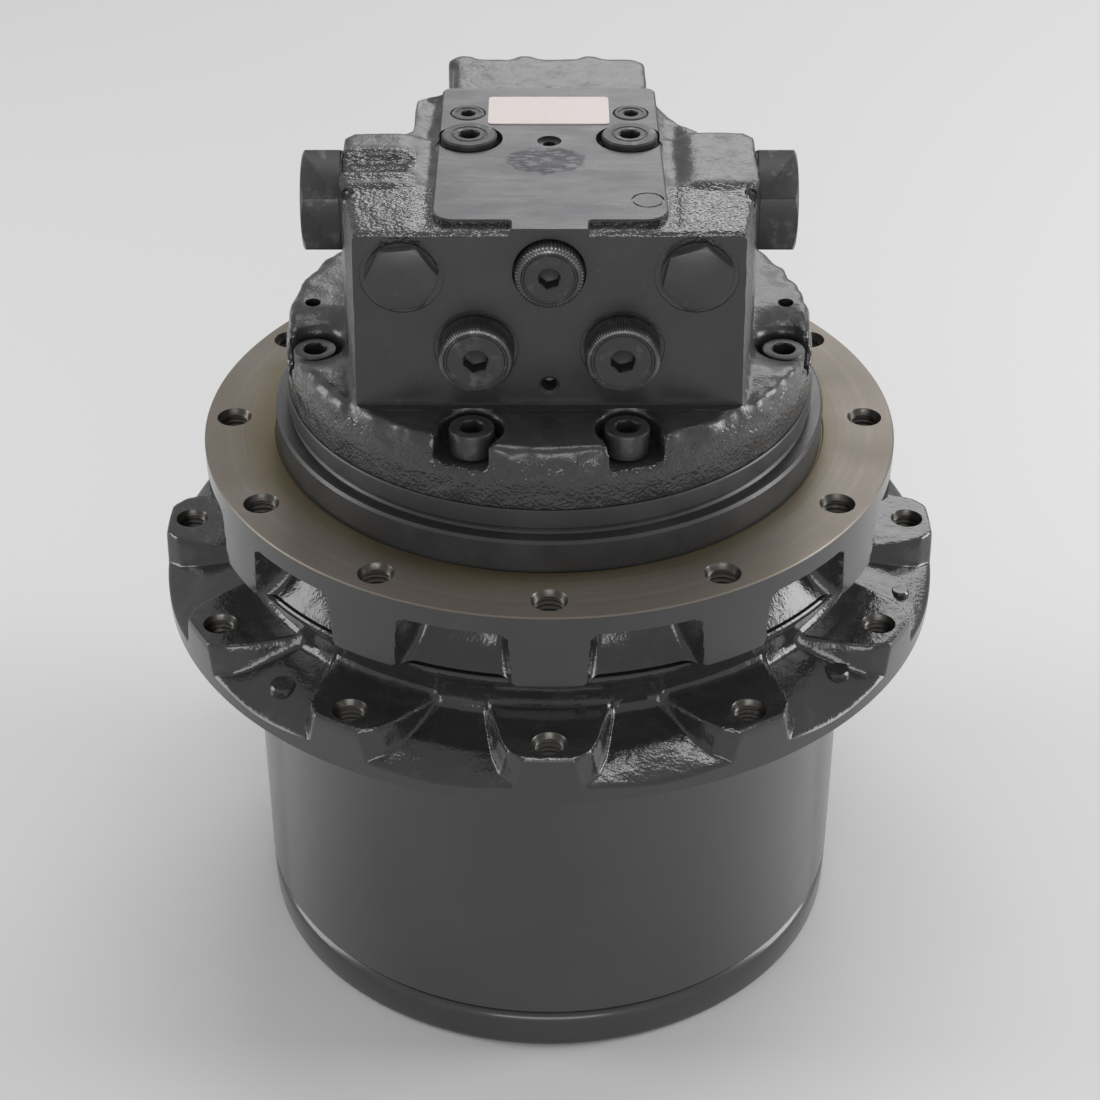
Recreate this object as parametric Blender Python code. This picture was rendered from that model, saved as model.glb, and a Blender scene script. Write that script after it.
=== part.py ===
"""Excavator final drive: a two-stage planetary track drive with its axial piston motor and valve block.

The drive stands on its end cover with +Z up along the drive axis, and its origin is the centre of the
cover's outer face. The motor end points up. The valve block's port face looks along -Y.
All dimensions below are in millimetres; the mesh helpers turn them into metres.
"""

from math import acos, cos, pi, radians, sin, tan

import bmesh
import bpy
from mathutils import Matrix, Vector

MM = 0.001
GAP = 0.3          # clearance between pieces that seat on each other
SIDES = 36         # facets round the large turned pieces
RING_SIDES = 20    # facets round rings inside the drive
PLUG_SIDES = 12    # facets round plugs, screws and pins

# Heights along the drive axis, above the end cover's outer face
COVER_RIM_TOP = 18.0
DRUM_BOTTOM = COVER_RIM_TOP + GAP
SPROCKET_FACE = 154.3
BOSS_TOP = 174.4
HUB_TOP = 190.6
SPINDLE_RIM_BOTTOM = 191.9
FRAME_FACE = 221.5
PILOT_TOP = 233.8
JOINT_FACE = 243.7
VALVE_BLOCK_BASE = JOINT_FACE + GAP
MOTOR_FLANGE_TOP = 267.5
BLOCK_TOP = 334.9
PAD_TOP = 337.0

# Frame mounting flange of the spindle
FRAME_FLANGE_R = 132.65
FRAME_BOLT_CIRCLE_R = 122.0
PILOT_R = 104.8
MOTOR_NECK_R = 100.0
BOLT_COUNT = 12
TAPPED_HOLE_R = 6.1          # M14 tapping size
TAPPED_HOLE_DEPTH = 22.0
SPINDLE_END = 119.7
SPIGOT_SPLINE = (40.0, 44.0, 12)

# Hub: sprocket flange and drum
SPROCKET_FLANGE_R = 151.7
SPROCKET_BOLT_CIRCLE_R = 142.3
DRUM_R = 119.3
HUB_NECK_R = 120.8
HUB_RIM_R = 127.6
CAST_STUB_R = 5.0
CAST_STUB_TOP = 167.0
# Cast stubs in the hollows: distance from the drive axis, angle from the front
CAST_STUBS = ((138.5, -45.0), (138.5, 50.0), (141.0, 75.0))

# Gears: both stages run in one ring gear cut in the hub
MODULE = 3.5
PRESSURE_ANGLE = radians(25)
THINNING = 0.14              # taken off each flank at the pitch circle, for backlash
RING_TEETH = 60
STAGE1_SUN_TEETH = 12
STAGE1_PLANET_TEETH = 24
STAGE2_SUN_TEETH = 16
STAGE2_PLANET_TEETH = 22
STAGE1_PLANET_ANGLES = (90, 210, 330)
STAGE2_PLANET_ANGLES = (0, 90, 180, 270)
STAGE1_CENTRES = MODULE * (STAGE1_SUN_TEETH + STAGE1_PLANET_TEETH) / 2
STAGE2_CENTRES = MODULE * (STAGE2_SUN_TEETH + STAGE2_PLANET_TEETH) / 2
RING_RELIEF_R = 110.2        # bore of the drum above and below the ring gear's teeth
RING_BLANK_R = 99.0
RING_BOTTOM = 25.0
RING_TOP = 108.0
STAGE1_BOTTOM = 30.0
STAGE1_TOP = 56.0
STAGE2_BOTTOM = 72.0
STAGE2_TOP = 104.0
PLANET_BORE_R = 14.6
PLANET_PIN_R = 13.4
SUN_SPLINE = (18.5, 21.5, 12)

# Main bearings and floating seal
BEARING_SEAT_R = 75.0
BEARING_BORE_R = 104.0
BEARING_WIDTH = 20.0
LOWER_BEARING_BOTTOM = 134.0
UPPER_BEARING_BOTTOM = 160.0
ROLLERS = 12
ROLLER_R = 5.6
SEAL_BORE_R = 109.0
SEAL_FACE = 191.2
SEAL_RING_BORE_R = 92.5
SPINDLE_NOSE_R = 70.0        # carries the bearing nut

# Axial piston motor
CHAMBER_R = 56.0
CHAMBER_FLOOR = 154.0
BRAKE_BORE_R = 78.0
BRAKE_SHOULDER = 211.0
BRAKE_PLATE_THICKNESS = 3.0
CYLINDER_BLOCK_R = 43.0
CYLINDER_BLOCK_BOTTOM = 198.0
CYLINDER_BLOCK_TOP = 239.3
PISTONS = 9
PISTON_CIRCLE_R = 30.0
PISTON_R = 7.2
PISTON_END = 190.8
SWASH_ANGLE = radians(15)
SWASH_TILT = radians(7.5)    # how far the plate turns back for the fast speed
SWASH_PIVOT_HEIGHT = 158.0
SWASH_FACE_HEIGHT = 172.0    # where the running face crosses the drive axis
SWASH_R = 50.0
SWASH_BALL_X = 30.0
SWASH_BALL_R = 6.0
SHOE_PLATE_R = 38.0
SHAFT_R = 13.0
SHAFT_END_R = 10.5
SHAFT_BORE_R = 24.0
SPEED_PISTON_Y = 40.0
SPEED_PISTON_R = 7.0
SPEED_PISTON_BOTTOM = 134.0
SPEED_PISTON_CENTRE = 144.0

# Valve block
FRONT_FACE_Y = -68.4
FRONT_HALF_WIDTH = 69.0
WING_HALF_WIDTH = 74.5
SPOOL_AXIS_Y = -5.0
SPOOL_AXIS_HEIGHT = 316.5
SPOOL_BORE_R = 11.0
SPOOL_R = 10.2
SPOOL_HALF_LENGTH = 40.0
SPOOL_CAP_ACROSS = 35.5
PORT_X = 25.4
PORT_HEIGHT = 291.1
PORT_BORE_R = 11.0
PORT_PLUG_R = 13.2
FRONT_PLUG_X = 50.5
FRONT_PLUG_HEIGHT = 319.5
FRONT_PLUG_ACROSS = 22.2
TOP_PORT_HEIGHT = 320.5
TOP_PORT_RECESS_R = 12.6
RELIEF_PLUG_X = 29.0
RELIEF_PLUG_Y = 3.5
RELIEF_PLUG_R = 10.1
RELIEF_COUNTERBORE_R = 12.2
RELIEF_COUNTERBORE_DEPTH = 3.8
CAP_SCREW_R = 4.7
CAP_SCREW_HEAD_R = 8.0
CAP_SCREW_HEAD_HEIGHT = 10.0
CAP_SCREW_POCKET_R = 11.5
CAP_SCREW_END = 227.0
REAR_RIB_R = 6.2
REAR_RIB_Y = 79.2
REAR_RIB_XS = (-33.0, -9.5, 15.5)
WING_GROOVE = (-18.5, -8.0, 3.0)     # from y, to y, depth
# Each cap screw: distance from the drive axis, angle from the front, height of its seat
CAP_SCREWS = (
    (86.5, -18.3, 257.5),
    (86.5, 18.3, 257.5),
    (88.8, -79.0, 251.5),
    (88.8, 79.0, 251.5),
    (88.0, -141.0, 257.5),
    (88.0, 141.0, 257.5),
)
COVER_SCREW_CIRCLE_R = 103.0
COVER_SCREW_HOLE_R = 7.5
COVER_SCREW_SEAT = 9.0
COVER_SCREWS = 8
THRUST_BOSS_R = 16.0

# Base colour, roughness and metallic value of each finish
FINISHES = {
    "black_paint": ((0.030, 0.030, 0.032), 0.28, 0.0),
    "dark_steel": ((0.045, 0.043, 0.042), 0.42, 0.6),
    "bearing_steel": ((0.55, 0.55, 0.56), 0.25, 1.0),
    "gear_steel": ((0.30, 0.30, 0.31), 0.38, 1.0),
    "spring_steel": ((0.20, 0.20, 0.21), 0.35, 0.9),
    "bronze": ((0.52, 0.33, 0.12), 0.35, 1.0),
    "friction_lining": ((0.14, 0.10, 0.07), 0.85, 0.0),
    "seal_rubber": ((0.02, 0.02, 0.02), 0.7, 0.0),
}


def clear_scene():
    for old in list(bpy.data.objects):
        bpy.data.objects.remove(old, do_unlink=True)


def finish_material(name):
    found = bpy.data.materials.get(name)
    if found:
        return found
    colour, roughness, metallic = FINISHES[name]
    material = bpy.data.materials.new(name)
    material.use_nodes = True
    shader = material.node_tree.nodes["Principled BSDF"]
    shader.inputs["Base Color"].default_value = (*colour, 1.0)
    shader.inputs["Roughness"].default_value = roughness
    shader.inputs["Metallic"].default_value = metallic
    material.diffuse_color = (*colour, 1.0)
    return material


# Outlines, as lists of (x, y)


def circle(radius, sides, phase=0.0):
    angles = [phase + 2 * pi * step / sides for step in range(sides)]
    return [(radius * cos(angle), radius * sin(angle)) for angle in angles]


def polar(points):
    """Points given as (radius, angle in radians)."""
    return [(radius * cos(angle), radius * sin(angle)) for radius, angle in points]


def hexagon(across_flats, phase=0.0):
    return circle(across_flats / 2 / cos(pi / 6), 6, phase=phase)


def involute(angle):
    return tan(angle) - angle


def half_tooth_angle(teeth, radius, thinning):
    """Half the angle that an involute tooth takes up at this radius."""
    pitch_radius = MODULE * teeth / 2
    base_radius = pitch_radius * cos(PRESSURE_ANGLE)
    flank_angle = acos(min(1.0, base_radius / radius))
    at_pitch = pi / (2 * teeth) - thinning / pitch_radius
    return at_pitch + involute(PRESSURE_ANGLE) - involute(flank_angle)


def toothed_outline(teeth, flank_radii, thinning):
    """Teeth with flanks through the given radii, root to tip. A tooth space lies on +X."""
    points = []
    for tooth in range(teeth):
        centre = 2 * pi * (tooth + 0.5) / teeth
        halves = [(radius, half_tooth_angle(teeth, radius, thinning)) for radius in flank_radii]
        points += [(radius, centre - half) for radius, half in halves]
        points += [(radius, centre + half) for radius, half in reversed(halves)]
    return polar(points)


def gear_outline(teeth, fine):
    pitch_radius = MODULE * teeth / 2
    root = pitch_radius - 1.25 * MODULE
    tip = pitch_radius + MODULE
    return toothed_outline(teeth, (root, pitch_radius, tip) if fine else (root, tip), THINNING)


def spline_outline(root, tip, teeth, clearance=0.0):
    """A straight-sided spline; clearance widens it, for the hub that it slides into."""
    points = []
    for tooth in range(teeth):
        centre = 2 * pi * tooth / teeth
        half = 0.5 * pi / teeth + clearance / tip
        points += [(root + clearance, centre - half), (tip + clearance, centre - half)]
        points += [(tip + clearance, centre + half), (root + clearance, centre + half)]
    return polar(points)


def kidney(inner, outer, middle, half_angle, steps=5):
    """A curved port slot between two radii."""
    angles = [middle + half_angle * (2 * step / steps - 1) for step in range(steps + 1)]
    return polar([(outer, angle) for angle in angles] + [(inner, angle) for angle in reversed(angles)])


# Solids. Each helper returns a bmesh that holds one closed solid.


def faced_outwards(shape):
    bmesh.ops.recalc_face_normals(shape, faces=shape.faces)
    return shape


def turned(profile, sides=RING_SIDES):
    """A closed (radius, height) profile turned about Z. Points at radius 0 close it on the axis."""
    shape = bmesh.new()
    points = [shape.verts.new((radius * MM, 0.0, height * MM)) for radius, height in profile]
    sides_of_profile = [
        shape.edges.new(pair)
        for pair in zip(points, points[1:] + points[:1])
        if pair[0].co.x > 0 or pair[1].co.x > 0
    ]
    bmesh.ops.spin(shape, geom=points + sides_of_profile, cent=(0, 0, 0), axis=(0, 0, 1),
                   angle=2 * pi, steps=sides, use_merge=True)
    bmesh.ops.remove_doubles(shape, verts=shape.verts, dist=1e-7)
    return faced_outwards(shape)


def plate(outlines, bottom, top):
    """A flat plate with vertical walls: the first outline is its edge and the others are its holes."""
    shape = bmesh.new()
    edges = []
    for outline in outlines:
        points = [shape.verts.new((x * MM, y * MM, bottom * MM)) for x, y in outline]
        edges += [shape.edges.new(pair) for pair in zip(points, points[1:] + points[:1])]
    bmesh.ops.triangle_fill(shape, use_beauty=True, edges=edges)
    raised = bmesh.ops.extrude_face_region(shape, geom=list(shape.faces))
    moved = [item for item in raised["geom"] if isinstance(item, bmesh.types.BMVert)]
    bmesh.ops.translate(shape, verts=moved, vec=(0, 0, (top - bottom) * MM))
    return faced_outwards(shape)


def lofted(sections):
    """A solid through sections that have the same number of points, in order along it."""
    shape = bmesh.new()
    rings = [[shape.verts.new(Vector(point) * MM) for point in section] for section in sections]
    count = len(rings[0])
    for lower, upper in zip(rings, rings[1:]):
        for step in range(count):
            after = (step + 1) % count
            shape.faces.new((lower[step], lower[after], upper[after], upper[step]))
    shape.faces.new(rings[0])
    shape.faces.new(rings[-1])
    return faced_outwards(shape)


def ring(inner, outer, bottom, top, sides=RING_SIDES):
    """A plain ring whose bore clears a round piece of the inner radius all the way round."""
    bore = inner / cos(pi / sides)
    return turned([(bore, bottom), (outer, bottom), (outer, top), (bore, top)], sides)


def rod(radius, bottom, top, sides=PLUG_SIDES):
    return turned([(0, bottom), (radius, bottom), (radius, top), (0, top)], sides)


def placed(shape, matrix):
    bmesh.ops.transform(shape, matrix=matrix, verts=shape.verts)
    return shape


def shift(x=0.0, y=0.0, z=0.0):
    return Matrix.Translation(Vector((x, y, z)) * MM)


def turn(angle, axis="Z"):
    """A rotation; the angle is in radians."""
    return Matrix.Rotation(angle, 4, axis)


def from_front(radius, angle, height=0.0):
    """A place at this distance from the drive axis; the angle is in degrees from the front, towards +X."""
    return shift(radius * sin(radians(angle)), -radius * cos(radians(angle)), height)


FACING_FRONT = turn(pi / 2, "X")     # turns +Z to -Y
FACING_RIGHT = turn(pi / 2, "Y")     # turns +Z to +X


def gathered(shapes):
    """Several solids as one bmesh, for one cutter or one set of pieces to fuse."""
    whole = bmesh.new()
    for shape in shapes:
        mesh = bpy.data.meshes.new("gathered")
        shape.to_mesh(mesh)
        shape.free()
        whole.from_mesh(mesh)
        bpy.data.meshes.remove(mesh)
    return whole


def new_object(name, shape):
    mesh = bpy.data.meshes.new(name)
    shape.to_mesh(mesh)
    shape.free()
    made = bpy.data.objects.new(name, mesh)
    bpy.context.scene.collection.objects.link(made)
    return made


def piece(name, shape, finish, at=None, parent=None):
    """One sub-part. at places it, with its origin on its joint's axis."""
    made = new_object(name, shape)
    made.data.materials.append(finish_material(finish))
    made.data.shade_smooth()
    made.data.set_sharp_from_angle(angle=radians(32))
    if at is not None:
        made.matrix_world = at
    if parent is not None:
        made.parent = parent
    return made


def combine(target, shape, operation, solver="EXACT"):
    helper = new_object(f"{target.name}_{operation.lower()}_{len(target.modifiers)}", shape)
    helper.hide_render = True
    helper.display_type = "WIRE"
    helper.matrix_world = target.matrix_world
    boolean = target.modifiers.new(operation.title(), "BOOLEAN")
    boolean.operation = operation
    boolean.solver = solver
    boolean.object = helper
    return helper


def cut(target, shapes, solver="EXACT"):
    return combine(target, gathered(shapes), "DIFFERENCE", solver)


def fuse(target, shapes, solver="EXACT"):
    return combine(target, gathered(shapes), "UNION", solver)


def bolt_places(circle_radius, count=BOLT_COUNT, offset=0.0):
    return [from_front(circle_radius, offset + 360 * step / count) for step in range(count)]


# Fixed side: spindle, motor case and frame flange


def flange_pocket():
    """The cast pocket between two bolt lands of the frame flange, at the front, before it is turned."""
    outside = FRAME_FLANGE_R + 8
    # height, floor radius, half width at the floor, half width at the outer wall
    rows = (
        (193.2, 126.4, 16.0, 22.0),
        (199.0, 120.2, 15.0, 22.0),
        (211.5, 117.0, 14.0, 21.4),
        (215.0, 118.0, 10.5, 18.0),
    )
    return lofted([
        [(-inner, -floor, height), (inner, -floor, height),
         (outer, -outside, height), (-outer, -outside, height)]
        for height, floor, inner, outer in rows
    ])


def make_spindle():
    spindle = piece("spindle", turned([
        (BRAKE_BORE_R, JOINT_FACE),
        (MOTOR_NECK_R, JOINT_FACE),
        (MOTOR_NECK_R, 235.8),
        (98.6, 235.0),
        (98.6, PILOT_TOP),
        (PILOT_R - 1.0, PILOT_TOP),
        (PILOT_R, PILOT_TOP - 1.0),
        (PILOT_R, FRAME_FACE),
        (FRAME_FLANGE_R, FRAME_FACE),
        (FRAME_FLANGE_R, SPINDLE_RIM_BOTTOM),
        (SEAL_BORE_R, SPINDLE_RIM_BOTTOM),
        (SEAL_BORE_R, 206.0),
        (88.0, 206.0),
        (88.0, 180.3),
        (BEARING_SEAT_R, 180.3),
        (BEARING_SEAT_R, 134.3),
        (SPINDLE_NOSE_R, 133.8),
        (SPINDLE_NOSE_R, SPINDLE_END),
        (SHAFT_BORE_R, SPINDLE_END),
        (SHAFT_BORE_R, 146.0),
        (17.0, 146.0),
        (17.0, CHAMBER_FLOOR),
        (CHAMBER_R, CHAMBER_FLOOR),
        (CHAMBER_R, BRAKE_SHOULDER),
        (BRAKE_BORE_R, BRAKE_SHOULDER),
    ], SIDES), "black_paint")
    cut(spindle, [
        placed(flange_pocket(), turn(2 * pi * (step + 0.5) / BOLT_COUNT))
        for step in range(BOLT_COUNT)
    ])
    fuse(spindle, [plate([spline_outline(*SPIGOT_SPLINE), circle(SHAFT_BORE_R + 0.5, RING_SIDES)],
                         107.0, SPINDLE_END + 1)])
    frame_holes = [
        placed(rod(TAPPED_HOLE_R, FRAME_FACE - TAPPED_HOLE_DEPTH, FRAME_FACE + 2, 8), place)
        for place in bolt_places(FRAME_BOLT_CIRCLE_R)
    ]
    motor_holes = [
        placed(rod(CAP_SCREW_R + 0.45, CAP_SCREW_END - 2, JOINT_FACE + 2, 8), from_front(radius, angle))
        for radius, angle, seat in CAP_SCREWS
    ]
    speed_bore = placed(rod(SPEED_PISTON_R + 0.4, 133.0, CHAMBER_FLOOR + 2), shift(y=SPEED_PISTON_Y))
    ball_seats = [
        placed(rod(SWASH_BALL_R + 0.4, SWASH_PIVOT_HEIGHT - SWASH_BALL_R - 0.6, CHAMBER_FLOOR + 2),
               shift(x=side * SWASH_BALL_X))
        for side in (-1, 1)
    ]
    cut(spindle, frame_holes + motor_holes + [speed_bore] + ball_seats)
    return spindle


def make_stage2_carrier():
    carrier = piece("stage2_carrier", plate(
        [circle(84.0, RING_SIDES), spline_outline(*SPIGOT_SPLINE, clearance=GAP)],
        106.3, SPINDLE_END - GAP), "gear_steel")
    fuse(carrier, [
        placed(rod(PLANET_PIN_R, STAGE2_BOTTOM + 1, 108.0), from_axis(STAGE2_CENTRES, angle))
        for angle in STAGE2_PLANET_ANGLES
    ])
    return carrier


def from_axis(radius, angle, height=0.0):
    """A place at this distance from the drive axis; the angle is in degrees from +X."""
    return shift(radius * cos(radians(angle)), radius * sin(radians(angle)), height)


# Hub: drum, sprocket flange, ring gear and end cover


def sprocket_pocket():
    """The cast hollow between two bolt bosses of the sprocket flange, before it is turned into place."""
    # distance from the axis, half width at the top, half width at the floor, height of the floor
    stations = (
        (120.0, 10.0, 7.0, 171.2),
        (131.0, 15.0, 11.5, 168.2),
        (140.5, 19.5, 16.0, 165.3),
        (147.0, 24.0, 20.0, 163.3),
        (150.2, 28.5, 23.5, 162.4),
        (156.0, 38.0, 31.0, 160.6),
    )
    top = BOSS_TOP + 0.7
    return lofted([
        [(-floor, -distance, height), (floor, -distance, height),
         (wide + 1, -distance, top), (-wide - 1, -distance, top)]
        for distance, wide, floor, height in stations
    ])


def make_hub():
    ring_root = MODULE * (RING_TEETH / 2 + 1.2)
    ring_tip = MODULE * (RING_TEETH / 2 - 1)
    hub = piece("hub", turned([
        (RING_RELIEF_R, DRUM_BOTTOM),
        (DRUM_R, DRUM_BOTTOM),
        (DRUM_R, SPROCKET_FACE),
        (SPROCKET_FLANGE_R, SPROCKET_FACE),
        (SPROCKET_FLANGE_R, BOSS_TOP),
        (HUB_NECK_R, BOSS_TOP),
        (HUB_NECK_R + 0.6, 179.5),
        (124.0, 185.0),
        (HUB_RIM_R, 188.2),
        (HUB_RIM_R, HUB_TOP),
        (SEAL_BORE_R, HUB_TOP),
        (SEAL_BORE_R, 180.3),
        (BEARING_BORE_R, 180.3),
        (BEARING_BORE_R, UPPER_BEARING_BOTTOM - GAP),
        (98.0, UPPER_BEARING_BOTTOM - GAP),
        (98.0, LOWER_BEARING_BOTTOM + BEARING_WIDTH + GAP),
        (BEARING_BORE_R, LOWER_BEARING_BOTTOM + BEARING_WIDTH + GAP),
        (BEARING_BORE_R, 112.0),
        (RING_RELIEF_R, 112.0),
        (RING_RELIEF_R, RING_TOP),
        (RING_BLANK_R, RING_TOP),
        (RING_BLANK_R, RING_BOTTOM),
        (RING_RELIEF_R, RING_BOTTOM),
    ], SIDES), "black_paint")
    cut(hub, [
        placed(sprocket_pocket(), turn(2 * pi * (step + 0.5) / BOLT_COUNT))
        for step in range(BOLT_COUNT)
    ], "MANIFOLD")
    fuse(hub, [
        placed(rod(CAST_STUB_R, SPROCKET_FACE + 2, CAST_STUB_TOP, 8), from_front(radius, angle))
        for radius, angle in CAST_STUBS
    ], "MANIFOLD")
    cut(hub, [
        placed(rod(TAPPED_HOLE_R, SPROCKET_FACE - 1, BOSS_TOP + 2, 8), place)
        for place in bolt_places(SPROCKET_BOLT_CIRCLE_R)
    ], "MANIFOLD")
    spaces = toothed_outline(RING_TEETH, (ring_tip, ring_root), -THINNING)
    cut(hub, [placed(plate([spaces], RING_BOTTOM - 3, RING_TOP + 3), turn(pi / RING_TEETH))], "MANIFOLD")
    return hub


def make_end_cover(hub):
    cover = piece("end_cover", turned([
        (0, 0),
        (116.5, 0),
        (118.9, 2.4),
        (118.9, COVER_RIM_TOP),
        (109.8, COVER_RIM_TOP),
        (109.8, RING_BOTTOM - 1),
        (98.0, RING_BOTTOM - 1),
        (94.0, 9.0),
        (0, 9.0),
    ], SIDES), "black_paint", parent=hub)
    fuse(cover, [rod(THRUST_BOSS_R, 8.0, 26.8)])
    cut(cover, [
        placed(rod(COVER_SCREW_HOLE_R, -2, COVER_SCREW_SEAT, 8),
               from_front(COVER_SCREW_CIRCLE_R, 360 * (step + 0.5) / COVER_SCREWS))
        for step in range(COVER_SCREWS)
    ])
    return cover


# Planetary stages


def make_gear(name, teeth, bore, bottom, top, fine=False, at=None, parent=None, phase=0.0):
    outlines = [gear_outline(teeth, fine), circle(bore, PLUG_SIDES)]
    return piece(name, placed(plate(outlines, bottom, top), turn(phase)), "gear_steel", at, parent)


def planet_phase(teeth, angle):
    """Turns a planet so that one tooth points straight away from the sun."""
    return radians(angle) + pi / teeth


def make_planets(stage, teeth, centres, angles, bottom, top, parent):
    for number, angle in enumerate(angles, 1):
        make_gear(f"stage{stage}_planet_{number}", teeth, PLANET_BORE_R, bottom, top,
                  at=from_axis(centres, angle), parent=parent, phase=planet_phase(teeth, angle))


def make_stage1_carrier():
    lobes = []
    for angle in STAGE1_PLANET_ANGLES:
        for step in range(-2, 3):
            turned_to = radians(angle + 24 * step)
            centre = polar([(STAGE1_CENTRES, radians(angle))])[0]
            lobes.append((centre[0] + 20 * cos(turned_to), centre[1] + 20 * sin(turned_to)))
    carrier = piece("stage1_carrier", plate(
        [lobes, spline_outline(*SUN_SPLINE, clearance=GAP)], 58.5, 69.0), "gear_steel")
    fuse(carrier, [
        placed(rod(PLANET_PIN_R, STAGE1_BOTTOM + 1, 60.0), from_axis(STAGE1_CENTRES, angle))
        for angle in STAGE1_PLANET_ANGLES
    ])
    return carrier


def make_stage2_sun():
    sun = make_gear("stage2_sun", STAGE2_SUN_TEETH, 14.0, 70.5, 105.0, fine=True)
    fuse(sun, [plate([spline_outline(*SUN_SPLINE), circle(14.0, PLUG_SIDES)], 59.0, 71.5)])
    return sun


# Main bearings and floating seal


def make_bearing(name, bottom, rise, hub):
    """A taper roller bearing: rise is 1 where the races narrow upwards, and -1 where they widen."""
    top = bottom + BEARING_WIDTH
    low_shift, high_shift = (2.0, -2.0) if rise > 0 else (-2.0, 2.0)
    bore = (BEARING_SEAT_R + GAP) / cos(pi / RING_SIDES)
    piece(f"{name}_inner_ring", turned([
        (bore, bottom), (82.0 + low_shift, bottom), (82.0 + high_shift, top), (bore, top),
    ]), "bearing_steel")
    outer = BEARING_BORE_R - 0.7
    piece(f"{name}_outer_ring", turned([
        (96.6 + low_shift, bottom), (outer, bottom), (outer, top), (96.6 + high_shift, top),
    ]), "bearing_steel", parent=hub)
    sections = []
    for height, offset in ((bottom + 1.5, low_shift * 0.85), (top - 1.5, high_shift * 0.85)):
        middle = 89.2 + offset
        outside, inside = [], []
        for roller in range(ROLLERS):
            centre = 2 * pi * roller / ROLLERS
            for angle, reach in ((-4.4, 1.6), (-2.3, ROLLER_R), (2.3, ROLLER_R), (4.4, 1.6)):
                turned_to = centre + radians(angle)
                outside.append((middle + reach, turned_to))
                inside.append((middle - reach, turned_to))
        sections.append((height, outside, inside))
    (low, low_outside, low_inside), (high, high_outside, high_inside) = sections
    cage = piece(f"{name}_rollers", lofted([
        [(x, y, low) for x, y in polar(low_outside)],
        [(x, y, high) for x, y in polar(high_outside)],
    ]), "bearing_steel")
    bore_shape = lofted([
        [(x, y, low - 0.01) for x, y in polar(low_inside)],
        [(x, y, high + 0.01) for x, y in polar(high_inside)],
    ])
    cut(cage, [bore_shape])
    return cage


def make_bearing_nut():
    notches = 6
    outline = []
    for notch in range(notches):
        centre = 2 * pi * notch / notches
        outline += [(82.0, centre - 0.36), (82.0, centre - 0.10), (78.5, centre - 0.09),
                    (78.5, centre + 0.09), (82.0, centre + 0.10), (82.0, centre + 0.36)]
    bore = (SPINDLE_NOSE_R + GAP) / cos(pi / RING_SIDES)
    return piece("bearing_nut", plate([polar(outline), circle(bore, RING_SIDES)], 122.0, 133.4),
                 "dark_steel")


def make_seal(hub):
    """Floating seal: two lapped rings face to face, each pressed by a rubber ring in a bore."""
    piece("spindle_seal_ring", turned([
        (SEAL_RING_BORE_R, SEAL_FACE + GAP / 2), (104.0, SEAL_FACE + GAP / 2), (104.0, 194.0),
        (98.0, 197.0), (98.0, 203.5), (SEAL_RING_BORE_R, 203.5),
    ]), "bearing_steel")
    piece("hub_seal_ring", turned([
        (SEAL_RING_BORE_R, SEAL_FACE - GAP / 2), (104.0, SEAL_FACE - GAP / 2), (104.0, 189.0),
        (98.5, 186.8), (98.5, 181.0), (SEAL_RING_BORE_R, 181.0),
    ]), "bearing_steel", parent=hub)
    piece("spindle_seal_rubber", rubber_ring(103.4, 201.2, 3.9), "seal_rubber")
    piece("hub_seal_rubber", rubber_ring(103.7, 184.2, 3.4), "seal_rubber", parent=hub)


def rubber_ring(radius, height, section, corners=5):
    return turned([(radius + section * cos(2 * pi * corner / corners),
                    height + section * sin(2 * pi * corner / corners)) for corner in range(corners)])


# Axial piston motor and brake


def make_motor():
    shaft = piece("motor_shaft", turned([
        (0, 27.4), (SHAFT_END_R, 27.4), (SHAFT_END_R, 118.0), (SHAFT_R, 120.0),
        (SHAFT_R, 238.0), (9.0, 240.0), (9.0, 259.0), (0, 259.0),
    ], PLUG_SIDES), "gear_steel")
    make_gear("stage1_sun", STAGE1_SUN_TEETH, SHAFT_END_R + 0.7, STAGE1_BOTTOM, STAGE1_TOP + 1, fine=True,
              parent=shaft, phase=pi / 2)
    block = piece("cylinder_block", plate(
        [circle(CYLINDER_BLOCK_R, RING_SIDES), circle(SHAFT_R + 0.7, PLUG_SIDES)],
        CYLINDER_BLOCK_BOTTOM, CYLINDER_BLOCK_TOP), "gear_steel", parent=shaft)
    fuse(block, [
        placed(rod(PISTON_R, PISTON_END, CYLINDER_BLOCK_BOTTOM + 2, 8),
               from_axis(PISTON_CIRCLE_R, 360 * piston / PISTONS))
        for piston in range(PISTONS)
    ])
    return shaft


def swash_place():
    """The frame of the swash plate's running face: +Z is the face's normal, on the drive axis."""
    return shift(z=SWASH_FACE_HEIGHT) @ turn(-SWASH_ANGLE, "X")


def make_swash_plate():
    """A wedge: its upper side is the running face, and its lower side has two lands 7.5 degrees apart."""
    low = CHAMBER_FLOOR + 0.8
    rim = circle(SWASH_R, RING_SIDES)
    bottom = [(x, y, low + max(0.0, -y) * tan(SWASH_TILT)) for x, y in rim]
    top = [(x, y, SWASH_FACE_HEIGHT - y * tan(SWASH_ANGLE)) for x, y in rim]
    pivot = shift(z=SWASH_PIVOT_HEIGHT)
    plate_body = piece("swash_plate", placed(lofted([bottom, top]), pivot.inverted()), "gear_steel", pivot)
    below = -40.0
    shaft_hole = rod(21.0, below, 60.0)
    ball_seats = [
        placed(rod(SWASH_BALL_R + 0.5, below, SWASH_BALL_R + 0.5), shift(x=side * SWASH_BALL_X))
        for side in (-1, 1)
    ]
    cut(plate_body, [shaft_hole] + ball_seats)
    return plate_body


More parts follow.
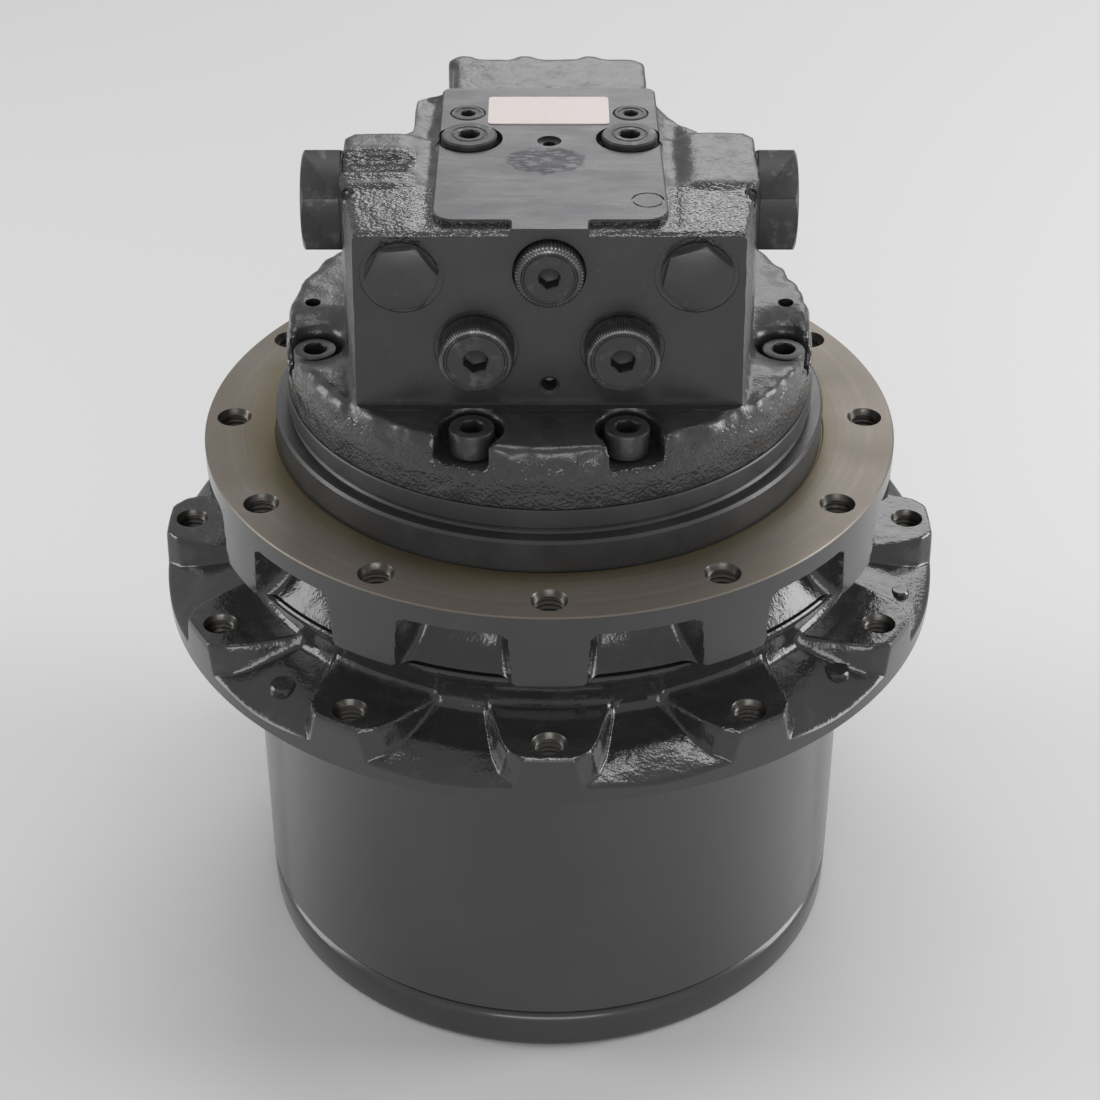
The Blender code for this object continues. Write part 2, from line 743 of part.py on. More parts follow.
def make_shoe_plate():
    """The retainer plate with the piston shoes in it. It turns in the plane of the swash plate's face."""
    retainer = piece("shoe_plate", plate(
        [circle(SHOE_PLATE_R, RING_SIDES), circle(18.0, PLUG_SIDES)], 3.0, 6.0), "bronze", swash_place())
    fuse(retainer, [
        placed(rod(7.4, GAP, 8.0, 6), from_axis(PISTON_CIRCLE_R, 360 * shoe / PISTONS))
        for shoe in range(PISTONS)
    ])
    return retainer


def make_swash_parts():
    swash = make_swash_plate()
    make_shoe_plate()
    for side, name in ((-1, "swash_ball_left"), (1, "swash_ball_right")):
        ball = bmesh.new()
        bmesh.ops.create_icosphere(ball, subdivisions=2, radius=SWASH_BALL_R * MM)
        piece(name, ball, "bearing_steel", shift(side * SWASH_BALL_X, 0, SWASH_PIVOT_HEIGHT))
    bottom = SPEED_PISTON_BOTTOM - SPEED_PISTON_CENTRE
    top = CHAMBER_FLOOR + 0.4 - SPEED_PISTON_CENTRE
    piece("speed_piston", turned([
        (0, bottom), (SPEED_PISTON_R, bottom), (SPEED_PISTON_R, top - 1.8), (2.5, top), (0, top),
    ], PLUG_SIDES), "bearing_steel", shift(y=SPEED_PISTON_Y, z=SPEED_PISTON_CENTRE))
    return swash


def make_brake(shaft):
    """Spring-applied disc brake: two lined discs on the cylinder block against one steel plate."""
    level = BRAKE_SHOULDER + GAP
    step = BRAKE_PLATE_THICKNESS + GAP
    for number, bottom in ((1, level), (2, level + 2 * step)):
        piece(f"brake_disc_{number}",
              ring(CYLINDER_BLOCK_R + GAP, 66.0, bottom, bottom + BRAKE_PLATE_THICKNESS),
              "friction_lining", parent=shaft)
    outside = BRAKE_BORE_R - 0.6
    piece("brake_plate", ring(46.0, outside, level + step, level + step + BRAKE_PLATE_THICKNESS),
          "dark_steel")
    seat = level + 3 * step
    piece("brake_piston", ring(47.0, outside, seat, 236.0), "gear_steel")
    piece("brake_spring", turned([(50.0, 241.6), (74.0, 236.3), (74.0, 238.1), (50.0, 243.4)]),
          "spring_steel")


def make_valve_plate():
    middle = PISTON_CIRCLE_R
    return piece("valve_plate", plate([
        circle(40.0, RING_SIDES),
        circle(SHAFT_R + 1.0, PLUG_SIDES),
        kidney(middle - 4, middle + 4, 0.0, radians(62)),
        kidney(middle - 4, middle + 4, pi, radians(62)),
    ], CYLINDER_BLOCK_TOP + GAP, JOINT_FACE), "bronze")


def make_shaft_supports():
    piece("front_shaft_bearing", ring(SHAFT_R + 0.4, SHAFT_BORE_R - 0.6, 129.0, 145.7), "bearing_steel")
    piece("shaft_seal", ring(SHAFT_R + 0.4, SHAFT_BORE_R - 0.6, 121.0, 128.5), "seal_rubber")
    piece("rear_shaft_bearing", ring(9.0 + 0.4, 19.4, VALVE_BLOCK_BASE + 1, 261.5), "bearing_steel")


# Valve block


def block_outline():
    """Plan of the block: a broad front with the spool bore across it, and a narrower rear."""
    front = FRONT_FACE_Y
    wing = WING_HALF_WIDTH
    return [
        (-FRONT_HALF_WIDTH, front), (FRONT_HALF_WIDTH, front), (wing, front + 5.0), (wing, 8.0),
        (70.5, 13.0), (56.0, 14.0), (49.0, 23.0), (43.0, 36.0), (38.5, 46.0), (37.0, 54.0),
        (37.0, 78.0), (33.0, 82.0), (-33.0, 82.0), (-37.0, 78.0), (-37.0, 53.0), (-42.0, 48.0),
        (-48.0, 46.0), (-50.0, 42.0), (-50.0, 18.0), (-54.0, 14.0), (-70.5, 13.0), (-wing, 8.0),
        (-wing, front + 5.0),
    ]


def pad_outline():
    """The machined pad on top, with a tongue that runs forward over the top port."""
    return [
        (-40.2, -50.0), (-38.4, -54.6), (-34.0, -56.2), (-14.5, -56.2), (-13.2, -57.6), (-13.2, -67.9),
        (13.6, -67.9), (13.6, -57.6), (15.0, -56.2), (34.0, -56.2), (38.6, -54.6), (40.5, -50.0),
        (40.5, 46.0), (38.0, 48.5), (-37.5, 48.5), (-40.0, 46.0),
    ]


def screw_pocket(radius, angle, seat):
    """The pocket round a cap screw's head. The front ones open forwards, the side ones run to the front corner."""
    top = MOTOR_FLANGE_TOP + 5
    reach = CAP_SCREW_POCKET_R
    shapes = [rod(reach, seat, top)]
    if abs(angle) < 45:
        shapes.append(plate([[(-9.0, -24.0), (9.0, -24.0), (10.5, 0.0), (-10.5, 0.0)]], seat, top))
    elif abs(angle) < 90:
        run = plate([[(-11.0, -24.0), (12.0, -24.0), (11.0, 0.0), (-11.0, 0.0)]], seat + 1.0, top)
        shapes.append(placed(run, turn(radians(-36 if angle > 0 else 36))))
    return [placed(placed(shape, turn(radians(angle))), from_front(radius, angle)) for shape in shapes]


def wing_groove():
    """The cast groove across the left wing of the block."""
    front, back, depth = WING_GROOVE
    outside = WING_HALF_WIDTH + 3
    inside = 43.0
    return lofted([
        [(-outside, front + slope, height), (-inside, front + slope, height),
         (-inside, back - slope, height), (-outside, back - slope, height)]
        for height, slope in ((BLOCK_TOP - depth, 2.5), (BLOCK_TOP + 1, -0.8))
    ])


def make_valve_block():
    block = piece("valve_block", turned([
        (0, VALVE_BLOCK_BASE), (98.6, VALVE_BLOCK_BASE), (99.6, 256.0),
        (98.6, MOTOR_FLANGE_TOP - 2.0), (96.0, MOTOR_FLANGE_TOP), (0, MOTOR_FLANGE_TOP),
    ], SIDES), "black_paint")
    fuse(block, [plate([block_outline()], MOTOR_FLANGE_TOP - 5, BLOCK_TOP)])
    fuse(block, [
        placed(rod(REAR_RIB_R, MOTOR_FLANGE_TOP - 4, BLOCK_TOP - 0.5), shift(x, REAR_RIB_Y))
        for x in REAR_RIB_XS
    ])
    fuse(block, [plate([pad_outline()], BLOCK_TOP - 2, PAD_TOP)])
    across = shift(y=SPOOL_AXIS_Y, z=SPOOL_AXIS_HEIGHT) @ FACING_RIGHT
    spool_bore = placed(rod(SPOOL_BORE_R, -90, 90), across)
    screw_holes = [
        placed(rod(CAP_SCREW_R + 0.45, VALVE_BLOCK_BASE - 2, seat + 1, 8), from_front(radius, angle))
        for radius, angle, seat in CAP_SCREWS
    ]
    shaft_bore = rod(20.0, VALVE_BLOCK_BASE - 2, 262.0, RING_SIDES)
    cut(block, [spool_bore])
    for radius, angle, seat in CAP_SCREWS:
        for shape in screw_pocket(radius, angle, seat):
            cut(block, [shape])
    cut(block, [wing_groove()])
    cut(block, screw_holes + [shaft_bore])
    front_holes = [
        front_placed(rod(PORT_BORE_R, -22, 2), side * PORT_X, PORT_HEIGHT) for side in (-1, 1)
    ]
    front_holes += [
        front_placed(rod(8.4, -15, 2), side * FRONT_PLUG_X, FRONT_PLUG_HEIGHT) for side in (-1, 1)
    ]
    front_holes.append(front_placed(rod(TOP_PORT_RECESS_R, -4.5, 2), 0, TOP_PORT_HEIGHT))
    front_holes.append(front_placed(rod(2.7, -9, 2, 8), 0, 275.9))
    cut(block, front_holes)
    top_holes = [
        placed(rod(RELIEF_PLUG_R - 2, PAD_TOP - 7.5, PAD_TOP - 2), shift(side * RELIEF_PLUG_X, RELIEF_PLUG_Y))
        for side in (-1, 1)
    ]
    top_holes.append(placed(rod(2.5, PAD_TOP - 7, PAD_TOP + 2, 8), shift(y=1.4)))
    counterbores = [
        placed(rod(RELIEF_COUNTERBORE_R, PAD_TOP - RELIEF_COUNTERBORE_DEPTH, PAD_TOP + 2, 16),
               shift(side * RELIEF_PLUG_X, RELIEF_PLUG_Y))
        for side in (-1, 1)
    ]
    cut(block, counterbores)
    cut(block, top_holes + [front_placed(rod(7.4, -16, -2), 0, TOP_PORT_HEIGHT)])
    return block


def front_placed(shape, x, height):
    """Puts a solid on the port face: its +Z points out of the face, from the face's plane."""
    return placed(shape, front_frame(x, height))


def front_frame(x, height):
    return shift(x, FRONT_FACE_Y, height) @ FACING_FRONT


def socket_head(head_r, head_height, shank_r, shank, chamfer=0.8, sides=PLUG_SIDES):
    """A round head that stands up from Z = 0 on a shank below it."""
    return turned([
        (0, -shank), (shank_r, -shank), (shank_r, GAP), (head_r, GAP), (head_r, head_height - chamfer),
        (head_r - chamfer, head_height), (0, head_height),
    ], sides)


def make_plug(name, frame, head, across, socket_depth, finish="dark_steel"):
    """A plug with a hexagon socket: head holds the sizes that socket_head takes."""
    made = piece(name, socket_head(*head), finish, frame)
    top = head[1]
    cut(made, [plate([hexagon(across)], top - socket_depth, top + 1)])
    return made


def make_cap_screws():
    for number, (radius, angle, seat) in enumerate(CAP_SCREWS, 1):
        make_plug(f"cap_screw_{number}", from_front(radius, angle, seat),
                  (CAP_SCREW_HEAD_R, CAP_SCREW_HEAD_HEIGHT, CAP_SCREW_R, seat - CAP_SCREW_END),
                  8.0, 5.0)


def make_plugs():
    for side, word in ((-1, "left"), (1, "right")):
        make_plug(f"port_plug_{word}", front_frame(side * PORT_X, PORT_HEIGHT),
                  (PORT_PLUG_R, 10.0, PORT_BORE_R - 0.5, 14.0), 8.0, 6.0)
        seat = PAD_TOP - RELIEF_COUNTERBORE_DEPTH
        make_plug(f"relief_plug_{word}", shift(side * RELIEF_PLUG_X, RELIEF_PLUG_Y, seat),
                  (RELIEF_PLUG_R, RELIEF_COUNTERBORE_DEPTH + 1.8, RELIEF_PLUG_R - 2.5, 3.4), 7.0, 5.0)
        hexagonal = piece(f"front_plug_{word}", plate([hexagon(FRONT_PLUG_ACROSS, side * 0.25)], GAP, 3.8),
                          "black_paint", front_frame(side * FRONT_PLUG_X, FRONT_PLUG_HEIGHT))
        fuse(hexagonal, [rod(7.9, -13, 1)])
    make_plug("port_plug_top", front_frame(0, TOP_PORT_HEIGHT) @ shift(z=-4.5),
              (9.6, 8.6, 6.8, 9.0), 6.0, 5.0)


def make_spool():
    """Counterbalance spool: lands and grooves, centred between two springs under hexagon caps."""
    across = shift(y=SPOOL_AXIS_Y, z=SPOOL_AXIS_HEIGHT) @ FACING_RIGHT
    length = SPOOL_HALF_LENGTH
    profile = [(0, -length), (SPOOL_R, -length), (SPOOL_R, -length + 12), (6.5, -length + 14),
               (6.5, -13), (SPOOL_R, -11), (SPOOL_R, 11), (6.5, 13), (6.5, length - 14),
               (SPOOL_R, length - 12), (SPOOL_R, length), (0, length)]
    piece("counterbalance_spool", turned(profile, PLUG_SIDES), "bearing_steel", across)
    for side, word in ((-1, "left"), (1, "right")):
        facing = across @ turn(0 if side > 0 else pi, "Y")
        cap = piece(f"spool_cap_{word}", plate([hexagon(SPOOL_CAP_ACROSS, pi / 6)], 75.0, 89.0),
                    "dark_steel", facing)
        fuse(cap, [rod(SPOOL_BORE_R - 0.6, 66.0, 76.0)])
        piece(f"spool_spring_{word}", coil(7.2, 1.1, length + 0.6, 65.2, 3.5), "spring_steel", facing)


def coil(radius, wire_r, bottom, top, turns, steps_per_turn=8, corners=4):
    """A helical spring along Z."""
    steps = round(turns * steps_per_turn)
    climb = (top - bottom - 2 * wire_r - 0.4) / steps
    sections = []
    for step in range(steps + 1):
        angle = 2 * pi * step / steps_per_turn
        height = bottom + wire_r + 0.2 + climb * step
        section = []
        for corner in range(corners):
            lean = 2 * pi * corner / corners
            reach = radius + wire_r * cos(lean)
            section.append((reach * cos(angle), reach * sin(angle), height + wire_r * sin(lean)))
        sections.append(section)
    return lofted(sections)


def main():
    clear_scene()
    make_spindle()
    hub = make_hub()
    make_end_cover(hub)
    make_seal(hub)
    make_bearing("lower_bearing", LOWER_BEARING_BOTTOM, 1, hub)
    make_bearing("upper_bearing", UPPER_BEARING_BOTTOM, -1, hub)
    make_bearing_nut()
    stage2_carrier = make_stage2_carrier()
    make_planets(2, STAGE2_PLANET_TEETH, STAGE2_CENTRES, STAGE2_PLANET_ANGLES,
                 STAGE2_BOTTOM, STAGE2_TOP, stage2_carrier)
    stage1_carrier = make_stage1_carrier()
    make_planets(1, STAGE1_PLANET_TEETH, STAGE1_CENTRES, STAGE1_PLANET_ANGLES,
                 STAGE1_BOTTOM, STAGE1_TOP, stage1_carrier)
    make_stage2_sun()
    shaft = make_motor()
    make_swash_parts()
    make_brake(shaft)
    make_valve_plate()
    make_shaft_supports()
    make_valve_block()
    make_cap_screws()
    make_plugs()
    make_spool()


main()
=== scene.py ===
"""Looks of the excavator final drive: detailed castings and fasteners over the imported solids, finishes and stage.

The drive stands on its end cover with +Z up its axis, and its port face looks along -Y. Shapes are worked in
millimetres above the end cover's outer face, and are scaled to metres when a piece is added.
"""

from math import atan2, cos, hypot, pi, radians, sin, sqrt, tan

import bmesh
import bpy
from bpy.props import FloatProperty, FloatVectorProperty, PointerProperty
from mathutils import Matrix, Vector, noise


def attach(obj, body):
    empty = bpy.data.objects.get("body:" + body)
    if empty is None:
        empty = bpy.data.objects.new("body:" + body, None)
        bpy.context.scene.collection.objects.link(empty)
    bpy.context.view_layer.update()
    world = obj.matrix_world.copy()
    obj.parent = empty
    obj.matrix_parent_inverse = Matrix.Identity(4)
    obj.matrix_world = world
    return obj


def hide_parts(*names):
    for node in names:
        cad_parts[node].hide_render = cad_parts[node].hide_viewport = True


bl_info = {
    "name": "Excavator final drive",
    "version": (1, 0, 0),
    "blender": (4, 5, 0),
    "location": "3D View > Sidebar > Final Drive",
    "description": "Builds the castings, fasteners, finishes and stage of an excavator final drive",
    "category": "Object",
}

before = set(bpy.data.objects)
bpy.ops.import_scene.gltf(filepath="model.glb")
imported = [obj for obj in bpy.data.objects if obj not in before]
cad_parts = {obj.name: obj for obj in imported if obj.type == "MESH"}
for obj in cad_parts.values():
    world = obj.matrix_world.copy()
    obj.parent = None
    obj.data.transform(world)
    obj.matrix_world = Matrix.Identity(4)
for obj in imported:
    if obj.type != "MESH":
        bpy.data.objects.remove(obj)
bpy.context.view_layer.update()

MM = 0.001
BOLTS = 12                 # in each flange's circle
COLUMNS = 720              # round the two big castings

# Heights above the end cover's outer face, from the drum upwards
DRUM_BOTTOM = 18.3
SPROCKET_UNDERSIDE = 154.3
BOSS_TOP = 174.4
LAND_BOTTOM = 191.9
FRAME_FACE = 221.5
CAP_SCREW_END = 227.0
PILOT_TOP = 233.8
JOINT_FACE = 243.7
BLOCK_BASE = 244.0
MOTOR_FLANGE_TOP = 267.5
BLOCK_TOP = 334.9
PAD_TOP = 337.0

# The port face, and the holes in it: places along X and heights
FRONT_Y = -68.4
PORT_X = 25.4
PORT_HEIGHT = 291.1
FRONT_PLUG_X = 50.5
FRONT_PLUG_HEIGHT = 319.5
TOP_PORT_HEIGHT = 320.5
GAUGE_PORT_HEIGHT = 275.9

# Plugs in the pad, as X and Y, and the hole that they flank
RELIEF_PLUG = (29.0, 3.5)
GALLERY_PLUG = (30.0, 25.5)
PAD_HOLE_Y = 1.4

SPOOL_Y = -5.0
SPOOL_HEIGHT = 316.5

# Each cap screw: distance from the drive axis, angle from the front, height of its seat
CAP_SCREWS = (
    (86.5, -18.3, 257.5),
    (86.5, 18.3, 257.5),
    (88.8, -79.0, 251.5),
    (88.8, 79.0, 251.5),
    (88.0, -141.0, 257.5),
    (88.0, 141.0, 257.5),
)
SIDES = (-1, 1)            # left and right


def length(name, text, millimetres):
    return FloatProperty(name=name, description=text, default=round(millimetres * MM, 6), min=0.0,
                         unit="LENGTH", subtype="DISTANCE")


def colour(name, text, value):
    return FloatVectorProperty(name=name, description=text, default=value, size=3, min=0.0, max=1.0,
                               subtype="COLOR")


class DriveSizes(bpy.types.PropertyGroup):
    drum_radius: length("Drum radius", "Outside radius of the hub's drum", 119.3)
    sprocket_radius: length("Sprocket flange radius", "Outside radius of the sprocket flange", 151.7)
    sprocket_circle: length("Sprocket bolt circle", "Radius of the sprocket flange's bolt circle", 142.3)
    frame_radius: length("Frame flange radius", "Outside radius of the frame flange", 132.65)
    frame_circle: length("Frame bolt circle", "Radius of the frame flange's bolt circle", 122.0)
    pilot_radius: length("Pilot radius", "Radius of the pilot that centres the drive in its frame", 104.8)
    pocket_floor: length("Pocket floor radius", "Radius of the floor of the frame flange's pockets", 117.0)
    frame_hole_radius: length("Frame hole radius", "Outside radius of the frame flange's threads", 6.6)
    boss_hole_radius: length("Boss hole radius", "Outside radius of the sprocket flange's threads", 6.3)
    thread_pitch: length("Thread pitch", "Pitch of the flanges' tapped threads", 2.0)
    cast_relief: length("Cast relief", "How far the cast skin rises and falls", 0.22)
    knurl_depth: length("Knurl depth", "Depth of the knurl on the round plugs", 0.5)


class DriveColours(bpy.types.PropertyGroup):
    enamel: colour("Enamel", "Black enamel on the castings", (0.023, 0.023, 0.024))
    machined_enamel: colour("Enamel on machined faces", "Black enamel where it covers machined faces",
                            (0.024, 0.024, 0.0255))
    pad_enamel: colour("Pad enamel", "Worn enamel on the pad", (0.040, 0.039, 0.043))
    bare_steel: colour("Bare steel", "Turned steel of the frame face", (0.225, 0.198, 0.172))
    pilot_tint: colour("Pilot tint", "Yellow-green tint of the steel round the pilot", (0.125, 0.102, 0.050))
    fastener: colour("Fasteners", "Phosphated steel of screws and plugs", (0.050, 0.050, 0.052))
    knurls: colour("Knurls", "Rubbed steel of the knurled rims", (0.095, 0.095, 0.0988))
    bare_plate: colour("Bare plate", "The bare plate on the pad", (0.70, 0.62, 0.61))
    threads: colour("Threads", "Steel of the tapped threads", (0.095, 0.09, 0.082))
    bearing_steel: colour("Bearing steel", "Ground steel of bearings and seals", (0.56, 0.56, 0.57))
    gear_steel: colour("Gear steel", "Cut steel of gears and shafts", (0.33, 0.33, 0.34))
    spring_steel: colour("Spring steel", "Drawn steel of springs", (0.20, 0.20, 0.21))
    bronze: colour("Bronze", "Bronze of the motor's sliding parts", (0.52, 0.33, 0.12))
    lining: colour("Brake lining", "Sintered lining of the brake discs", (0.14, 0.10, 0.07))
    rubber: colour("Rubber", "Rubber of the seals", (0.02, 0.02, 0.02))
    floor: colour("Floor", "The floor", (0.68, 0.68, 0.68))
    background: colour("Background", "What the camera and reflections see past the floor", (0.50, 0.50, 0.50))


def size(name):
    """A size from the sidebar, in millimetres."""
    return round(getattr(bpy.context.scene.drive_sizes, name) / MM, 4)


def tint(name):
    """A colour from the sidebar, with its alpha."""
    return (*getattr(bpy.context.scene.drive_colours, name), 1.0)


# Finishes


def arithmetic(operation, reflected=False):
    """An operator of Signal that adds a Math node to the finish."""
    def method(signal, other):
        first, second = (other, signal) if reflected else (signal, other)
        return signal.finish.node("ShaderNodeMath", {"operation": operation}, {0: first, 1: second})
    return method


class Signal:
    """An output socket of a finish. Arithmetic on it adds Math nodes to that finish."""

    def __init__(self, finish, socket):
        self.finish = finish
        self.socket = socket

    __add__, __radd__ = arithmetic("ADD"), arithmetic("ADD", True)
    __sub__, __rsub__ = arithmetic("SUBTRACT"), arithmetic("SUBTRACT", True)
    __mul__, __rmul__ = arithmetic("MULTIPLY"), arithmetic("MULTIPLY", True)
    __pow__ = arithmetic("POWER")


class Finish:
    """A material built node by node round one Principled shader. Its patterns follow Object coordinates."""

    def __init__(self, name, constants=()):
        self.material = bpy.data.materials.new(name)
        self.material.use_nodes = True
        self.tree = self.material.node_tree
        self.shader = self.tree.nodes["Principled BSDF"]
        self.set(constants)
        self.place = self.node("ShaderNodeTexCoord", output="Object")

    def node(self, kind, settings=(), sockets=(), output=0):
        made = self.tree.nodes.new(kind)
        for name, value in dict(settings).items():
            setattr(made, name, value)
        self.fill(made, sockets)
        return Signal(self, made.outputs[output])

    def fill(self, node, sockets):
        for name, value in dict(sockets).items():
            if isinstance(value, Signal):
                self.tree.links.new(value.socket, node.inputs[name])
            else:
                node.inputs[name].default_value = value

    def set(self, sockets):
        self.fill(self.shader, sockets)

    def grain(self, width, detail=2.0, roughness=0.5, stretch=(1, 1, 1)):
        """Noise from 0 to 1 whose grains are about this many millimetres wide."""
        at = self.place
        if stretch != (1, 1, 1):
            at = self.node("ShaderNodeMapping", sockets={"Vector": at, "Scale": stretch})
        return self.node("ShaderNodeTexNoise", sockets={
            "Vector": at, "Scale": 1 / (width * MM), "Detail": detail, "Roughness": roughness})

    def axis(self, name):
        return self.node("ShaderNodeSeparateXYZ", sockets={0: self.place}, output=name)

    def radius(self):
        """Distance from the drive axis, in metres."""
        return (self.axis("X") ** 2 + self.axis("Y") ** 2) ** 0.5

    def turning_marks(self, width):
        """Noise that changes only with the distance from the drive axis and the height."""
        return self.node("ShaderNodeTexNoise", {"noise_dimensions": "1D"}, {
            "W": (self.radius() + self.axis("Z")) * (1 / (width * MM)), "Scale": 1.0, "Detail": 2.0})

    def between(self, value, low, high):
        """0 where the value is at low, 1 where it is at high, and smooth between them."""
        return self.node("ShaderNodeMapRange", {"interpolation_type": "SMOOTHSTEP"},
                         {"Value": value, "From Min": low, "From Max": high})

    def blend(self, mask, first, second):
        return self.node("ShaderNodeMix", {"data_type": "RGBA"}, {0: mask, 6: first, 7: second}, 2)

    def bump(self, height, depth, strength=1.0, under=None):
        """A normal from a height between 0 and 1; the depth is in millimetres."""
        sockets = {"Height": height, "Distance": depth * MM, "Strength": strength}
        if under is not None:
            sockets["Normal"] = under
        return self.node("ShaderNodeBump", sockets=sockets)


def shaded(value, factor):
    """A colour with its brightness multiplied."""
    return (*(min(1.0, channel * factor) for channel in value[:3]), 1.0)


def cast_enamel(finish, base, pitting=0.08, grain=1.1, lumpiness=0.15, gloss=0.13):
    """Glossy enamel over a cast skin: pits and lumps under the paint, dust in patches."""
    lumps = finish.grain(4.0, 1.5, 0.5)
    pits = finish.grain(grain, 1.0, 0.5)
    dust = finish.between(finish.grain(9.0, 4.0, 0.65), 0.50, 0.74)
    return {
        "Specular IOR Level": 0.75,
        "Base Color": finish.blend(dust, base, shaded(base, 1.5)),
        "Roughness": gloss + dust * 0.10 + pits * 0.04,
        "Normal": finish.bump(pits, pitting, 1.0, finish.bump(lumps, lumpiness, 1.0)),
    }


def chipped_cast_and_highlight(finish, base):
    """Cast skin at the corners, where handling has dulled and chipped the enamel; its lighter colour is partly that
    wear and partly painted highlight where the corners catch the light.
    """
    grit = finish.grain(1.3, 3.0, 0.65)
    worn = finish.between(finish.grain(3.0, 3.0, 0.6), 0.35, 0.65)
    return {
        # Both colours are lightened copies of the enamel: painted highlight over the chipped corners
        "Base Color": finish.blend(worn, shaded(base, 1.6), shaded(base, 3.4)),
        "Roughness": 0.34 + worn * 0.2,
        "Normal": finish.bump(grit, 0.5, 0.9),
    }


def machined_enamel(finish, base):
    """Satin enamel over a machined face: faint tool marks, small scuffs."""
    film = finish.grain(1.1, 2.0, 0.5)
    clouds = finish.between(finish.grain(26.0, 3.0, 0.6), 0.42, 0.66)
    specks = finish.between(finish.grain(1.6, 1.0, 0.4), 0.70, 0.76)
    return {
        "Specular IOR Level": 0.65,
        "Base Color": finish.blend(specks * 0.2, finish.blend(clouds, base, shaded(base, 1.25)),
                                   shaded(base, 4.0)),
        "Roughness": 0.33 + clouds * 0.08 - specks * 0.1,
        "Normal": finish.bump(film, 0.03, 0.5),
    }


def drum_enamel(finish, base):
    """Satin enamel over the turned drum, with fine marks round it."""
    marks = finish.turning_marks(0.9)
    clouds = finish.between(finish.grain(40.0, 3.0, 0.6), 0.40, 0.68)
    peel = finish.grain(0.8, 1.0, 0.5)
    return {
        "Coat Weight": 0.55, "Coat Roughness": 0.13,
        "Base Color": finish.blend(clouds, base, shaded(base, 1.2)),
        "Roughness": 0.29 + clouds * 0.06,
        "Normal": finish.bump(peel, 0.02, 0.5, finish.bump(marks, 0.03, 0.5)),
    }


# The rubbed patch on the pad, in metres: its middle, its reach, its soft edge, and how much wider it is than long
PATCH_X, PATCH_Y = -0.0015, -0.0146
PATCH_REACH = 0.0112
PATCH_EDGE = 0.0017
PATCH_WIDENED = 1.3


def pad_enamel(finish, base):
    """Thin enamel over the milled pad: smears, scratches and a rubbed patch."""
    smears = finish.between(finish.grain(22.0, 5.0, 0.62, (1.0, 2.2, 1.0)), 0.40, 0.66)
    scratches = finish.between(finish.grain(0.7, 3.0, 0.7, (0.06, 1.0, 1.0)), 0.60, 0.72)
    streaks = finish.grain(2.0, 3.0, 0.6, (0.12, 1.0, 1.0))
    across = (finish.axis("X") - PATCH_X) * (1 / PATCH_WIDENED)
    along = finish.axis("Y") - PATCH_Y
    from_patch = (across ** 2 + along ** 2) ** 0.5 + (finish.grain(4.0) - 0.5) * 0.006
    scrawl = finish.between(finish.grain(1.7, 3.0, 0.7, (0.4, 1.0, 1.0)), 0.48, 0.60)
    patch = finish.between(from_patch, PATCH_REACH, PATCH_REACH - PATCH_EDGE)
    paint = finish.blend(scratches * 0.4, finish.blend(smears, shaded(base, 0.7), shaded(base, 2.0)),
                         shaded(base, 5.0))
    return {
        "Base Color": finish.blend(patch, paint, finish.blend(scrawl, shaded(base, 1.6), shaded(base, 5.0))),
        "Roughness": 0.24 + smears * 0.12 + streaks * 0.08 + patch * 0.2,
        "Metallic": 0.15,
        "Normal": finish.bump(streaks + patch * scrawl * 2.0, 0.10, 0.7),
    }


PILOT_TINT_WIDTH = 0.015


def turned_steel(finish, base):
    """Bare turned steel: concentric marks, storage stains, and a yellow-green tint close round the pilot, which
    reaches further out on the -X side.
    """
    marks = finish.turning_marks(0.55)
    stains = finish.between(finish.grain(34.0, 3.0, 0.5), 0.30, 0.75)
    flecks = finish.between(finish.grain(1.8, 2.0, 0.6), 0.60, 0.75)
    pilot = size("pilot_radius") * MM
    # The yellow-green tint reaches further from the pilot towards -X, so that side is darker and browner
    wavering = finish.radius() + (finish.grain(30.0, 3.0, 0.5) - 0.5) * 0.012 + finish.axis("X") * 0.03
    near_pilot = finish.between(wavering, pilot + PILOT_TINT_WIDTH, pilot)
    speckle = finish.between(finish.grain(0.8, 2.0, 0.6), 0.45, 0.65)
    steel = finish.blend(stains, base, (base[0] * 0.82, base[1] * 0.80, base[2] * 0.74, 1.0))
    for mask, factor in ((flecks * 0.25, 0.6), (finish.turning_marks(2.6) * 0.9, 0.7), (speckle * 0.3, 0.7)):
        steel = finish.blend(mask, steel, shaded(base, factor))
    return {
        "Metallic": 0.72,
        "Base Color": finish.blend(near_pilot * 0.85, steel, tint("pilot_tint")),
        "Roughness": 0.36 + stains * 0.06 + marks * 0.12,
        "Normal": finish.bump(marks, 0.08, 0.8),
    }


def dark_steel(finish, base, roughness=0.38, metallic=0.55):
    """Oiled dark steel: fine crystals and rubbed spots."""
    crystals = finish.grain(0.5, 2.0, 0.6)
    rubbed = finish.between(finish.grain(5.0, 4.0, 0.65), 0.52, 0.72)
    return {
        "Base Color": finish.blend(rubbed, base, shaded(base, 2.0)),
        "Roughness": roughness - rubbed * 0.10 + crystals * 0.06,
        "Metallic": metallic,
        "Normal": finish.bump(crystals, 0.03, 0.6),
    }


def worked_steel(finish, base, roughness, mark=0.6, depth=0.03):
    """Ground, cut or drawn steel and bronze, with turning marks and slight stains."""
    marks = finish.turning_marks(mark)
    stains = finish.between(finish.grain(8.0, 3.0, 0.6), 0.42, 0.72)
    return {
        "Metallic": 1.0,
        "Base Color": finish.blend(stains, base, shaded(base, 0.78)),
        "Roughness": roughness + stains * 0.10 + marks * 0.05,
        "Normal": finish.bump(marks, depth, 0.6),
    }


def soft_finish(finish, base, width, roughness, depth):
    """Rubber or sintered lining: a fine even grain."""
    grit = finish.grain(width, 3.0, 0.65)
    specks = finish.between(grit, 0.52, 0.68)
    return {
        "Base Color": finish.blend(specks, base, shaded(base, 1.8)),
        "Roughness": roughness - specks * 0.08,
        "Normal": finish.bump(grit, depth, 0.7),
    }


